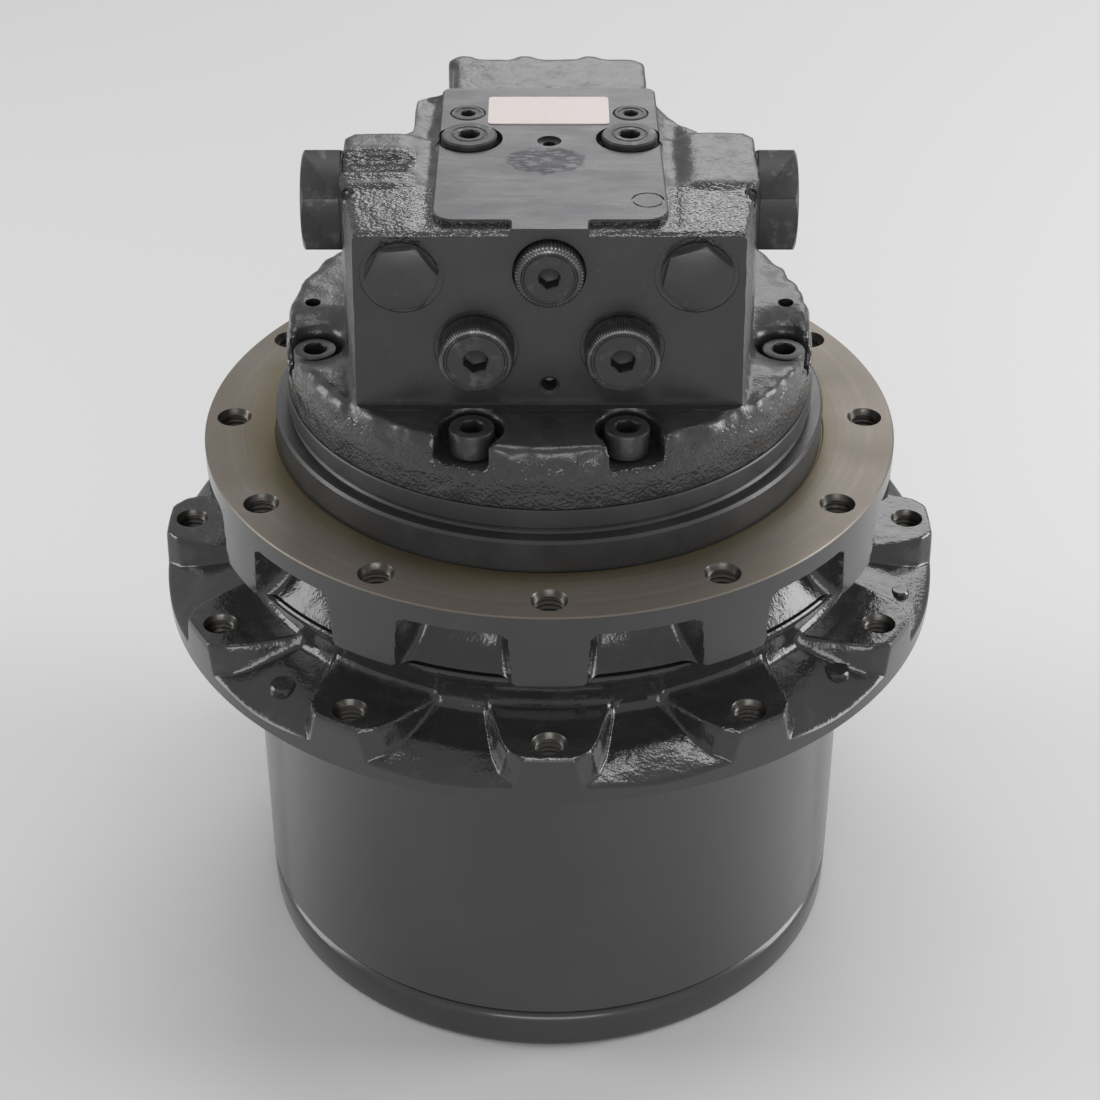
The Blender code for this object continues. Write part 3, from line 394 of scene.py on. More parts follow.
def bare_plate_finish(finish, base):
    """A bare matt plate, slightly soiled."""
    soil = finish.between(finish.grain(6.0, 4.0, 0.6), 0.50, 0.80)
    return {
        "Base Color": finish.blend(soil * 0.4, base, shaded(base, 0.85)),
        "Roughness": 0.5 + soil * 0.1,
        "Normal": finish.bump(finish.grain(0.6), 0.01, 0.4),
    }


# Each finish: its maker, its colour in the sidebar, and what else the maker takes
FINISHES = {
    "cast_enamel": (cast_enamel, "enamel"),
    "block_cast": (cast_enamel, "enamel", 0.10, 1.2, 0.2, 0.27),
    "rough_cast": (cast_enamel, "enamel", 0.34, 1.3, 0.3, 0.12),
    # the corners' cast skin, painted lighter as a highlight
    "chipped_cast_and_highlight": (chipped_cast_and_highlight, "enamel"),
    "machined_enamel": (machined_enamel, "machined_enamel"),
    "drum_enamel": (drum_enamel, "machined_enamel"),
    "pad_enamel": (pad_enamel, "pad_enamel"),
    "turned_steel": (turned_steel, "bare_steel"),
    "thread_steel": (dark_steel, "threads", 0.30, 0.85),
    "phosphated_steel": (dark_steel, "fastener"),
    "knurled_steel": (dark_steel, "knurls", 0.30, 0.75),
    "bare_plate": (bare_plate_finish, "bare_plate"),
    "bearing_steel": (worked_steel, "bearing_steel", 0.16, 0.4, 0.01),
    "gear_steel": (worked_steel, "gear_steel", 0.28, 0.5, 0.02),
    "spring_steel": (worked_steel, "spring_steel", 0.30, 1.2, 0.02),
    "bronze": (worked_steel, "bronze", 0.27, 0.6, 0.02),
    "friction_lining": (soft_finish, "lining", 0.7, 0.85, 0.1),
    "seal_rubber": (soft_finish, "rubber", 0.5, 0.62, 0.04),
}
# The finish that a carried-over solid gets for its material slot
SLOT_FINISHES = {"black_paint": "machined_enamel", "dark_steel": "phosphated_steel"}


def finish_named(name):
    """The material of this finish, made when it is first asked for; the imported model's own have plain names."""
    label = f"drive_{name}"
    if label not in bpy.data.materials:
        maker, shade, *rest = FINISHES[name]
        finish = Finish(label)
        finish.set(maker(finish, tint(shade), *rest))
    return bpy.data.materials[label]


# Outlines, in millimetres


def circle(radius, steps, start=0.0):
    angles = [start + 2 * pi * step / steps for step in range(steps)]
    return [(radius * cos(angle), radius * sin(angle)) for angle in angles]


def hexagon(across, start=0.0):
    return circle(across / 2 / cos(pi / 6), 6, start=start)


def rounded(corners, steps=5):
    """An outline with its corners rounded: each corner is (x, y, radius)."""
    points = []
    for index, (x, y, radius) in enumerate(corners):
        corner = Vector((x, y))
        before = (Vector(corners[index - 1][:2]) - corner).normalized()
        after = (Vector(corners[(index + 1) % len(corners)][:2]) - corner).normalized()
        if radius <= 0 or abs(before.dot(after)) > 0.999:
            points.append((x, y))
            continue
        half = before.angle(after) / 2
        centre = corner + (before + after).normalized() * radius / sin(half)
        first = corner + before * radius / tan(half) - centre
        last = corner + after * radius / tan(half) - centre
        sweep = first.angle_signed(last)
        for step in range(steps + 1):
            turned = first.copy()
            turned.rotate(Matrix.Rotation(-sweep * step / steps, 2))
            points.append(tuple(centre + turned))
    return points


# Solids, as bmeshes in millimetres


def tidied(shape, distance=1e-4):
    bmesh.ops.remove_doubles(shape, verts=shape.verts, dist=distance)
    bmesh.ops.recalc_face_normals(shape, faces=shape.faces)
    return shape


def lathe(profile, steps):
    """A closed (radius, height) profile turned about Z. Points at radius 0 close it on the axis."""
    shape = bmesh.new()
    points = [shape.verts.new((radius, 0.0, height)) for radius, height in profile]
    sides = [shape.edges.new(pair) for pair in zip(points, points[1:] + points[:1])
             if pair[0].co.x > 0 or pair[1].co.x > 0]
    bmesh.ops.spin(shape, geom=points + sides, cent=(0, 0, 0), axis=(0, 0, 1), angle=2 * pi,
                   steps=steps, use_merge=True)
    return tidied(shape)


def prism(outlines, bottom, top):
    """A plate between two heights: the first outline is its edge, the others are its holes."""
    shape = bmesh.new()
    edges = []
    for outline in outlines:
        points = [shape.verts.new((x, y, bottom)) for x, y in outline]
        edges += [shape.edges.new(pair) for pair in zip(points, points[1:] + points[:1])]
    bmesh.ops.triangle_fill(shape, use_beauty=True, edges=edges)
    raised = bmesh.ops.extrude_face_region(shape, geom=list(shape.faces))
    moved = [item for item in raised["geom"] if isinstance(item, bmesh.types.BMVert)]
    bmesh.ops.translate(shape, verts=moved, vec=(0, 0, top - bottom))
    return tidied(shape)


def rod(radius, bottom, top, steps=32, chamfer=0.0):
    profile = [(0, bottom), (radius, bottom), (radius, top)]
    if chamfer:
        profile[-1:] = [(radius, top - chamfer), (radius - chamfer, top)]
    return lathe(profile + [(0, top)], steps)


def placed(shape, matrix):
    bmesh.ops.transform(shape, matrix=matrix, verts=shape.verts)
    return shape


def shift(x=0.0, y=0.0, z=0.0):
    return Matrix.Translation((x, y, z))


def turn(degrees, axis="Z"):
    return Matrix.Rotation(radians(degrees), 4, axis)


def from_front(radius, degrees, height=0.0):
    """A place at this distance from the drive axis; the angle is from the front, towards +X."""
    return shift(radius * sin(radians(degrees)), -radius * cos(radians(degrees)), height)


def on_front(x, height):
    """A place on the port face: +Z there points out of the face."""
    return shift(x, FRONT_Y, height) @ turn(90, "X")


def as_mesh(name, shape):
    """A mesh of the shape; the bmesh is freed."""
    mesh = bpy.data.meshes.new(name)
    shape.to_mesh(mesh)
    shape.free()
    return mesh


def added(name, data):
    """A new object of the scene, at the origin."""
    made = bpy.data.objects.new(name, data)
    bpy.context.scene.collection.objects.link(made)
    return made


def gathered(shapes):
    """Several solids as one bmesh."""
    whole = bmesh.new()
    for shape in shapes:
        mesh = as_mesh("gathered", shape)
        whole.from_mesh(mesh)
        bpy.data.meshes.remove(mesh)
    return whole


def applied(helper, others=()):
    """The helper's mesh with its modifiers, as a bmesh; the helpers are removed."""
    evaluated = helper.evaluated_get(bpy.context.evaluated_depsgraph_get())
    shape = bmesh.new()
    shape.from_mesh(evaluated.to_mesh())
    evaluated.to_mesh_clear()
    for each in (helper, *others):
        mesh = each.data
        bpy.data.objects.remove(each)
        bpy.data.meshes.remove(mesh)
    return shape


SMALLEST_CUT = 1e-3        # cubic millimetres


def combined(shape, others, operation="DIFFERENCE"):
    """The shape with each of the other solids cut out of it, or joined to it."""
    volume = shape.calc_volume()
    target = added("helper", as_mesh("helper", shape))
    cutters = []
    for other in others:
        cutter = added("helper", as_mesh("helper", other))
        modifier = target.modifiers.new("boolean", "BOOLEAN")
        modifier.operation = operation
        modifier.solver = "MANIFOLD"
        modifier.object = cutter
        cutters.append(cutter)
    result = applied(target, cutters)
    if abs(result.calc_volume() - volume) < SMALLEST_CUT or not result.faces:
        raise RuntimeError(f"a {operation.lower()} had no effect")
    return result


def remeshed(shape, voxel):
    helper = added("helper", as_mesh("helper", shape))
    modifier = helper.modifiers.new("remesh", "REMESH")
    modifier.mode = "VOXEL"
    modifier.voxel_size = voxel
    return applied(helper)


def add_piece(name, shape, finishes, body, replaces=(), rule=None, sharp=32):
    """Adds a shape as a finished piece; the rule gives each face's finish from its centre and normal."""
    if rule is not None:
        for face in shape.faces:
            face.material_index = rule(face.calc_center_median(), face.normal)
    bmesh.ops.scale(shape, vec=(MM, MM, MM), verts=shape.verts)
    mesh = as_mesh(name, shape)
    for finish in finishes:
        mesh.materials.append(finish_named(finish))
    mesh.shade_smooth()
    mesh.set_sharp_from_angle(angle=radians(sharp))
    piece = added(name, mesh)
    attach(piece, body)
    if replaces:
        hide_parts(*replaces)


def eased(value):
    """0 below 0, 1 above 1, and a smooth step between."""
    value = min(1.0, max(0.0, value))
    return value * value * (3 - 2 * value)


def read_off(rows, value):
    """Linear interpolation in rows of (value, result)."""
    for (low, first), (high, second) in zip(rows, rows[1:]):
        if value <= high:
            return first + (second - first) * max(0.0, value - low) / (high - low)
    return rows[-1][1]


def crowded(share, low, high, part=0.45):
    """Moves columns, given as a share of half a bolt spacing, so that part of them lie from low to high."""
    below = (1 - part) * low / (1 - (high - low))
    if share < below:
        return share * low / below
    if share < below + part:
        return low + (share - below) / part * (high - low)
    return high + (share - below - part) / (1 - below - part) * (1 - high)


def lumps(point, wide=6.5, fine=3.0):
    """Cast relief from -1 to 1 at a point in millimetres."""
    return 0.8 * noise.noise(Vector(point) / wide) + 0.2 * noise.noise(Vector(point) / fine)


def bolt_share(angle):
    """How far an angle lies from the nearest bolt, as a share of half the spacing, and on which side."""
    spacing = 2 * pi / BOLTS
    turned = (angle + pi / 2) / spacing
    nearest = round(turned)
    return nearest * spacing - pi / 2, abs(turned - nearest) * 2, 1 if turned > nearest else -1


def reshaped(shape, move, choose=lambda vert: True):
    """Moves each chosen vertex to the place that move(radius, angle, height) gives, in the same terms."""
    for vert in shape.verts:
        if choose(vert):
            radius, angle, height = move(vert.co.to_2d().length, atan2(vert.co.y, vert.co.x), vert.co.z)
            vert.co = (radius * cos(angle), radius * sin(angle), height)
    return shape


def roughened(shape, amount, choose):
    """Raises and lowers the chosen vertices by cast relief, along their normals."""
    shape.normal_update()
    moves = [(vert, vert.normal * amount * lumps(vert.co)) for vert in shape.verts if choose(vert)]
    for vert, move in moves:
        vert.co += move
    return shape


def thread_cutter(radius, pitch, bottom, top):
    """A threaded hole as a closed solid: a zigzag between the thread's outside and its core, turned about Z."""
    core = radius - pitch * 0.54
    turns = int((top - bottom) / pitch)
    zigzag = [(core if half % 2 else radius, bottom + half * pitch / 2) for half in range(2 * turns + 1)]
    return lathe([(0, bottom), *zigzag, (0, bottom + turns * pitch)], 32)


def tapped_holes(places, bottom, face, radius):
    """Cutters for tapped holes: the threads, then their mouths."""
    pitch = size("thread_pitch")
    threads = [placed(thread_cutter(radius, pitch, bottom, face - 1.2), place) for place in places]
    mouths = [placed(lathe([(0, face - radius - 1), (radius - 0.9, face - 2.2), (radius - 0.3, face - 0.5),
                            (radius, face), (radius + 0.3, face + 0.3), (radius + 0.3, face + 1.5),
                            (0, face + 1.5)], 32), place) for place in places]
    return [gathered(threads), gathered(mouths)]


def bolt_places(distance):
    return [from_front(distance, 360 * step / BOLTS) for step in range(BOLTS)]


def in_bolt_hole(centre, distance, radius):
    """Whether a face lies in one of the tapped holes of a flange, at this distance from the drive axis."""
    bolt = bolt_share(atan2(centre.y, centre.x))[0]
    return hypot(centre.x - distance * cos(bolt), centre.y - distance * sin(bolt)) < radius + 0.05


# Hub: sprocket flange, neck and drum

# Half width of a boss, and height of the hollows' floor, by distance from the drive axis
BOSS_HALF_WIDTHS = ((120, 21.4), (131, 19.3), (140.5, 17.3), (147, 14.5), (150.2, 10.8), (151.7, 9.0))
HOLLOW_FLOORS = ((120, 171.2), (131, 168.2), (140.5, 165.3), (147, 163.3), (151.7, 161.6))
RIM_CHAMFER = 155.1
FLANK_WIDTH = 4.2
NECK_RADIUS = 120.8
# Cast stubs on the flange: distance from the drive axis, angle from the front, radius, top and sides
STUBS = ((138.5, -44.8, 5.0, 167.2, 40), (138.5, 50.0, 5.0, 167.0, 40), (141.0, 74.5, 3.6, 166.4, 32))


def sprocket_surface(radius, arc):
    """Height of the sprocket flange's top, by distance from the axis and from the nearest bolt."""
    floor = read_off(HOLLOW_FLOORS, radius)
    half_spacing = pi * radius / BOLTS
    towards_rim = max(0.0, (radius - 138) / 13.7)
    floor -= 1.9 * towards_rim * eased((arc - 10) / (half_spacing - 10))
    flank = (arc - read_off(BOSS_HALF_WIDTHS, radius) + 0.6) / FLANK_WIDTH
    drop = eased(flank) if flank < 0.5 else 1 - (1 - eased(flank)) ** 1.2
    return BOSS_TOP - (BOSS_TOP - floor) * drop


def hub_casting():
    """The hub, turned as a whole; the flange's columns are then moved to its bosses and hollows."""
    drum, rim, neck = size("drum_radius"), size("sprocket_radius"), NECK_RADIUS
    rows = [neck + (rim - 1.5 - neck) * (1 - step / 28) for step in range(29)]
    profile = [
        (110.2, DRUM_BOTTOM), (drum - 2.2, DRUM_BOTTOM), (drum - 1.5, 18.6), (drum - 0.4, 19.8), (drum, 21.2),
        (drum, 152.3), (drum + 0.6, 153.7), (drum + 2.0, SPROCKET_UNDERSIDE),
        (rim - 0.8, SPROCKET_UNDERSIDE), (rim, RIM_CHAMFER), (rim, 159.0), (rim, 163.0), (rim, 167.0),
        (rim, 170.5), (rim, 172.9), (rim - 0.45, 173.95),
    ]
    profile += [(radius, BOSS_TOP) for radius in rows]
    profile += [
        (neck + 0.2, 176.5), (neck + 0.6, 179.5), (122.4, 182.4), (124.4, 185.0), (126.6, 187.0),
        (127.6, 188.6), (127.6, 190.0), (127.0, 190.6), (109.0, 190.6), (109.0, 180.3), (104.0, 180.3),
        (104.0, 159.7), (98.0, 159.7), (98.0, SPROCKET_UNDERSIDE), (104.0, SPROCKET_UNDERSIDE), (104.0, 112.0),
        (110.2, 112.0),
    ]
    shape = lathe(profile, COLUMNS)

    def move(radius, angle, height):
        bolt, share, side = bolt_share(angle)
        half_spacing = pi * radius / BOLTS
        width = read_off(BOSS_HALF_WIDTHS, radius)
        if height > RIM_CHAMFER - 0.01 and radius > neck - 0.01:
            share = crowded(share, (width - 0.8) / half_spacing, (width + FLANK_WIDTH) / half_spacing)
        angle = bolt + side * share * pi / BOLTS
        top = sprocket_surface(radius, share * half_spacing)
        if height <= BOSS_TOP + 0.01:
            top += 2.0 * (1 - min(1.0, (radius - neck) / 2.6)) ** 2
            height = RIM_CHAMFER + (height - RIM_CHAMFER) * (top - RIM_CHAMFER) / (BOSS_TOP - RIM_CHAMFER)
        return radius, angle, height

    def on_flange(vert):
        radius = vert.co.to_2d().length
        return radius > neck - 0.5 and RIM_CHAMFER - 0.2 < vert.co.z < BOSS_TOP + 2.0

    reshaped(shape, move, on_flange)

    def cast_skin(vert):
        radius = vert.co.to_2d().length
        return neck - 0.5 < radius < rim - 1.0 and 156 < vert.co.z < 187.5

    roughened(shape, size("cast_relief") * 0.6, cast_skin)
    stubs = [placed(rod(radius, 158.0, top, sides, 0.8), from_front(distance, degrees))
             for distance, degrees, radius, top, sides in STUBS]
    shape = combined(shape, [gathered(stubs)], "UNION")
    places = bolt_places(size("sprocket_circle"))
    return combined(shape, tapped_holes(places, 148.0, BOSS_TOP, size("boss_hole_radius")))


def hub_rule(centre, normal):
    """Finish of each face of the hub: 0 cast, 1 machined, 2 drum, 3 thread."""
    radius = centre.to_2d().length
    if in_bolt_hole(centre, size("sprocket_circle"), size("boss_hole_radius")):
        return 3
    if radius < 118 and centre.z < 190:
        return 1
    if centre.z < SPROCKET_UNDERSIDE + 0.4:
        return 2
    return 2 if radius > size("sprocket_radius") - 0.6 else 0


RING_TEETH = 60
# Flank of the gaps between the teeth from root to tip: radius, and half the gap's angle
RING_FLANK = ((109.2, 0.0160), (105.0, 0.0253), (101.5, 0.0345))


def ring_gear():
    """The ring gear's 60 teeth, cut in the hub."""
    points = []
    for tooth in range(RING_TEETH):
        centre = 2 * pi * (tooth + 0.5) / RING_TEETH
        for side, flank in ((-1, RING_FLANK), (1, RING_FLANK[::-1])):
            for radius, half in flank:
                angle = centre + side * half
                points.append((radius * cos(angle), radius * sin(angle)))
    return placed(prism([circle(110.1, 180), points], 25.0, 108.0), turn(180 / RING_TEETH))


# Spindle: frame flange, pilot and motor case

POCKET_HALF_WIDTH = 20.4
POCKET_TOP = 213.7
POCKET_SIDE = 6.5          # width of a pocket's rounded side
LAND_CORNER = 3.4          # radius of the lands' lower corners


def pocket_radius(arc, height):
    """Radius of the frame flange's outside, by distance from a pocket's middle and by height."""
    outside = size("frame_radius")
    half_width = POCKET_HALF_WIDTH + (FRAME_FACE - 11 - height) * 0.075
    inwards = (half_width - arc) / POCKET_SIDE
    below = (POCKET_TOP - height) / 3.4
    depth = 1 - hypot(max(0.0, 1 - inwards), max(0.0, 1 - below))
    if depth <= 0:
        return outside
    floor = size("pocket_floor")
    if height < 209:
        floor += 10.0 * ((209 - height) / 17.5) ** 2
    cut = 1 - (1 - depth) ** 2.2
    return outside - (outside - floor) * cut * eased(depth * 9 + 0.25)


def spindle_casting():
    """The spindle, turned as a whole; the frame flange's columns are then moved in to its pockets."""
    outside, pilot = size("frame_radius"), size("pilot_radius")
    lowest, highest = LAND_BOTTOM + 0.1, FRAME_FACE - 0.5
    wall = [(outside, lowest + (highest - lowest) * step / 40) for step in range(41)]
    profile = [(109.0, LAND_BOTTOM), (outside - 0.4, LAND_BOTTOM)] + wall + [
        (outside - 0.5, FRAME_FACE), (pilot + 0.9, FRAME_FACE), (pilot + 0.6, FRAME_FACE - 0.6),
        (pilot, FRAME_FACE - 0.6), (pilot, PILOT_TOP - 1.0), (pilot - 1.0, PILOT_TOP), (99.4, PILOT_TOP),
        (98.6, 234.6), (98.6, 235.4), (99.4, 236.2), (100.0, 236.8), (100.0, JOINT_FACE - 0.5),
        (99.5, JOINT_FACE), (78.0, JOINT_FACE), (78.0, 211.0), (56.0, 211.0), (56.0, 154.0), (17.0, 154.0),
        (17.0, 146.0), (24.0, 146.0), (24.0, 107.0), (39.6, 107.0), (39.6, 119.7), (70.0, 119.7),
        (70.0, 133.8), (75.0, 134.3), (75.0, 180.3), (88.0, 180.3), (88.0, 206.0), (109.0, 206.0),
    ]
    shape = lathe(profile, COLUMNS)
    half_spacing = pi / BOLTS
    arc_spacing = half_spacing * outside

    def move(radius, angle, height):
        bolt, share, side = bolt_share(angle)
        # the pocket's side starts this share of the way from the bolt
        edge = 1 - (POCKET_HALF_WIDTH + 1.2) / arc_spacing
        share = crowded(share, edge, edge + POCKET_SIDE / arc_spacing)
        angle = bolt + side * share * half_spacing
        return min(radius, pocket_radius((1 - share) * arc_spacing, height)), angle, height

    reshaped(shape, move, lambda vert: vert.co.to_2d().length > outside - 1 and vert.co.z < FRAME_FACE - 0.4)

    def land_corner(radius, angle, height):
        """Rounds the lower corners of the lands."""
        bolt, share, side = bolt_share(angle)
        from_corner = arc_spacing * share - (arc_spacing - POCKET_HALF_WIDTH) + LAND_CORNER
        if from_corner > 0 and radius > outside - 1.5:
            lift = LAND_CORNER - sqrt(max(0.0, LAND_CORNER ** 2 - min(from_corner, LAND_CORNER) ** 2))
            height = max(height, LAND_BOTTOM + lift * 0.9)
        return radius, angle, height

    reshaped(shape, land_corner, lambda vert: vert.co.to_2d().length > outside - 1.5 and vert.co.z < 196)
    skin = outside - 0.15
    roughened(shape, size("cast_relief") * 0.4,
              lambda vert: 112 < vert.co.to_2d().length < skin and 192.2 < vert.co.z < FRAME_FACE - 1.5)
    places = bolt_places(size("frame_circle"))
    shape = combined(shape, tapped_holes(places, 199.0, FRAME_FACE, size("frame_hole_radius")))
    sockets = [placed(rod(5.1, 225.0, JOINT_FACE + 2, 24), from_front(radius, degrees))
               for radius, degrees, seat in CAP_SCREWS]
    inner = [placed(rod(7.4, 133.0, 156.0, 24), shift(y=40.0))]
    inner += [placed(rod(6.4, 151.4, 156.0, 24), shift(x=side * 30.0)) for side in SIDES]
    splines = [placed(prism([[(-2.6, 39.0), (2.6, 39.0), (2.2, 44.0), (-2.2, 44.0)]], 107.0, 119.9),
                      turn(30 * step)) for step in range(12)]
    shape = combined(shape, [gathered(splines)], "UNION")
    return combined(shape, [gathered(sockets), gathered(inner)])


def spindle_rule(centre, normal):
    """Finish of each face of the spindle: 0 cast, 1 machined, 2 bare, 3 thread, 4 land."""
    radius = centre.to_2d().length
    if 199 < centre.z < FRAME_FACE + 0.1 and in_bolt_hole(centre, size("frame_circle"), size("frame_hole_radius")):
        return 3
    if radius > size("pilot_radius") + 0.1 and centre.z > FRAME_FACE - 0.7:
        return 2
    if radius > size("frame_radius") - 0.1:
        return 4
    return 0 if radius > 110 and centre.z > LAND_BOTTOM + 0.05 else 1


# Valve block


# Outlines of the block and its pad: each corner is X, Y and the radius that rounds it
BLOCK_OUTLINE = (
    (-68.0, -70.0, 1), (68.0, -70.0, 1), (72.6, -36.0, 2), (74.5, -27.0, 3), (74.5, 8.0, 3), (70.5, 13.0, 3),
    (56.0, 14.0, 4), (49.0, 23.0, 4), (43.0, 36.0, 5), (38.5, 46.0, 5), (37.0, 54.0, 3), (37.0, 78.0, 3),
    (33.0, 82.0, 2), (-33.0, 82.0, 2), (-37.0, 78.0, 3), (-37.0, 53.0, 3), (-42.0, 48.0, 2), (-48.0, 46.0, 3),
    (-50.0, 42.0, 3), (-50.0, 18.0, 3), (-54.0, 14.0, 3), (-70.5, 13.0, 3), (-74.5, 8.0, 3), (-74.5, -27.0, 3),
    (-72.6, -36.0, 2),
)
PAD_OUTLINE = (
    (-40.2, -61.8, 8.0), (-13.2, -61.8, 1.2), (-13.2, -69.5, 0), (13.6, -69.5, 0), (13.6, -61.8, 1.2),
    (41.0, -61.8, 8.0), (39.6, 48.5, 3), (-40.0, 48.5, 3),
)
# Height of each wing's cast top above its level, by place along Y
LEFT_WING_RELIEF = (
    (-70, 0.0), (-33, 0.1), (-31, 0.9), (-27, 0.7), (-24.5, 1.2), (-22, 1.2), (-20, 0.3), (-16.5, -1.5),
    (-12.5, -1.7), (-9.5, -0.7), (-7.0, 1.5), (-4.5, 1.8), (-1, 1.1), (13, 0.9),
)
RIGHT_WING_RELIEF = ((-70, 0.0), (-34, 0.0), (-30, 1.1), (13, 1.3))
BLOCK_VOXEL = 1.3
RIB_XS = (-33.0, -9.5, 15.5)
# Bores in the port face: place along X, height, radius
FRONT_BORES = (
    (-PORT_X, PORT_HEIGHT, 11.1), (PORT_X, PORT_HEIGHT, 11.1), (0, TOP_PORT_HEIGHT, 13.7),
    (0, GAUGE_PORT_HEIGHT, 4.6), (-FRONT_PLUG_X, FRONT_PLUG_HEIGHT, 8.5), (FRONT_PLUG_X, FRONT_PLUG_HEIGHT, 8.5),
)


def block_top(x, y):
    """How far the cast top of the block lies above or below its level, by place."""
    outwards = abs(x)
    rise = read_off(LEFT_WING_RELIEF if x < 0 else RIGHT_WING_RELIEF, y) * eased((outwards - 46) / 8)
    if y < 46:
        widening = eased((y + 34) / 14)
        beside_pad = eased(1 - abs(outwards - 43.4) / (3.6 + 3.4 * widening))
        rise -= (1.0 + 1.1 * widening) * beside_pad * eased((y + 66) / 5)
    if outwards > 41 and y > 12:
        rise -= 1.6 * eased((outwards - 41) / 6) * (1 - eased((y - 12) / 30))
    return rise - 0.7 * eased((-66.4 - y) / 2.4)


def cap_screw_pockets():
    """Cutters for the pockets round the cap screws; the front two and the side two open outwards."""
    cutters = []
    top = MOTOR_FLANGE_TOP + 8
    for number, (radius, degrees, seat) in enumerate(CAP_SCREWS):
        pocket = rod(11.2 if number < 2 else 10.6, seat, top, 48)
        if number < 2:
            mouth = [(-9.5, -24, 0), (8.5, -24, 0), (10.6, 0, 0), (-10.6, 0, 0)]
            pocket = combined(pocket, [prism([rounded(mouth)], seat, top)], "UNION")
        elif number < 4:
            mouth = [(-6.5, -24, 0), (6.5, -24, 0), (9.5, 0, 0), (-9.5, 0, 0)]
            pocket = combined(pocket, [prism([rounded(mouth)], seat + 1.5, top)], "UNION")
        cutters.append(placed(placed(pocket, turn(degrees)), from_front(radius, degrees)))
    return cutters


def outward_strip(x, y):
    """How far a place lies outside the rough strips at the block's front corners; positive is on them."""
    if not -66.5 < y < -36:
        return -5.0
    return abs(x) - (68.0 + (y + 70) * 0.135) + 0.9


def ahead_of_front(bottom, top):
    """A cutter for all that stands in front of the port face, between two heights."""
    return prism([[(-90, -130), (90, -130), (90, FRONT_Y), (-90, FRONT_Y)]], bottom, top)


def block_casting():
    """The valve block: joined, remeshed into one skin, worn and roughened, then machined."""
    flange = lathe([
        (0, 242.0), (99.2, 242.0), (99.6, 254.0), (98.8, 262.5), (97.9, 266.4), (96.6, MOTOR_FLANGE_TOP + 0.2),
        (92.0, MOTOR_FLANGE_TOP), (0, MOTOR_FLANGE_TOP),
    ], 120)
    body = prism([rounded(BLOCK_OUTLINE)], MOTOR_FLANGE_TOP - 6, BLOCK_TOP)
    ribs = [placed(rod(6.2, MOTOR_FLANGE_TOP - 5, BLOCK_TOP, 32), shift(x, 79.2)) for x in RIB_XS]
    shape = combined(flange, [body, gathered(ribs)], "UNION")
    shape = combined(shape, cap_screw_pockets())
    shape = remeshed(shape, BLOCK_VOXEL)
    for vert in shape.verts:
        x, y, z = vert.co
        if z > BLOCK_TOP - 3:
            vert.co.z += block_top(x, y) * eased((z - BLOCK_TOP + 3) / 2.4)
    for step in range(3):
        bmesh.ops.smooth_vert(shape, verts=shape.verts, factor=0.5, use_axis_x=True, use_axis_y=True,
                              use_axis_z=True)
    roughened(shape, size("cast_relief") * 1.3, lambda vert: True)
    for vert in shape.verts:
        x, y, z = vert.co
        rim = eased((vert.co.to_2d().length - 90) / 7) * eased((z - 258) / 7) * eased((270 - z) / 1.0)
        if rim > 0:
            vert.co += Vector((x, y, 60)).normalized() * rim * 0.9 * noise.noise(vert.co / 6.5)
        if 256 < z < MOTOR_FLANGE_TOP + 2 and abs(x) > 70:
            dip = eased(1 - hypot(abs(x) - 89.0, y + 19.0) / 27)
            vert.co.z -= 6.5 * dip * eased((z - 256) / 9)
        if z > MOTOR_FLANGE_TOP + 1 and y < -20:
            draft = (z - MOTOR_FLANGE_TOP) / (BLOCK_TOP - MOTOR_FLANGE_TOP)
            vert.co.x *= 1 - 0.017 * draft * eased((-20 - y) / 45)
            strip = eased((outward_strip(x, y) + 1.5) / 1.5)
            vert.co.x -= (1 if x > 0 else -1) * 0.8 * strip * abs(noise.noise(vert.co / 2.6))
    below_base = prism([[(-140, -140), (140, -140), (140, 140), (-140, 140)]], 236.0, BLOCK_BASE)
    shape = combined(shape, [below_base, ahead_of_front(MOTOR_FLANGE_TOP + 0.4, 350.0)])
    pad = prism([rounded(PAD_OUTLINE)], 330.0, PAD_TOP)
    rim = [edge for edge in pad.edges if not edge.is_contiguous or edge.calc_face_angle() > 1.0]
    rim = [edge for edge in rim if all(vert.co.z > PAD_TOP - 0.01 for vert in edge.verts)]
    bmesh.ops.bevel(pad, geom=rim, affect="EDGES", offset=0.6, segments=1, profile=0.5, material=-1)
    shape = combined(shape, [combined(pad, [ahead_of_front(320.0, 350.0)])], "UNION")
    return combined(shape, block_holes())


def turned_cutters(profile, steps, places):
    """The same turned cutter at several places."""
    return [placed(lathe(profile, steps), place) for place in places]


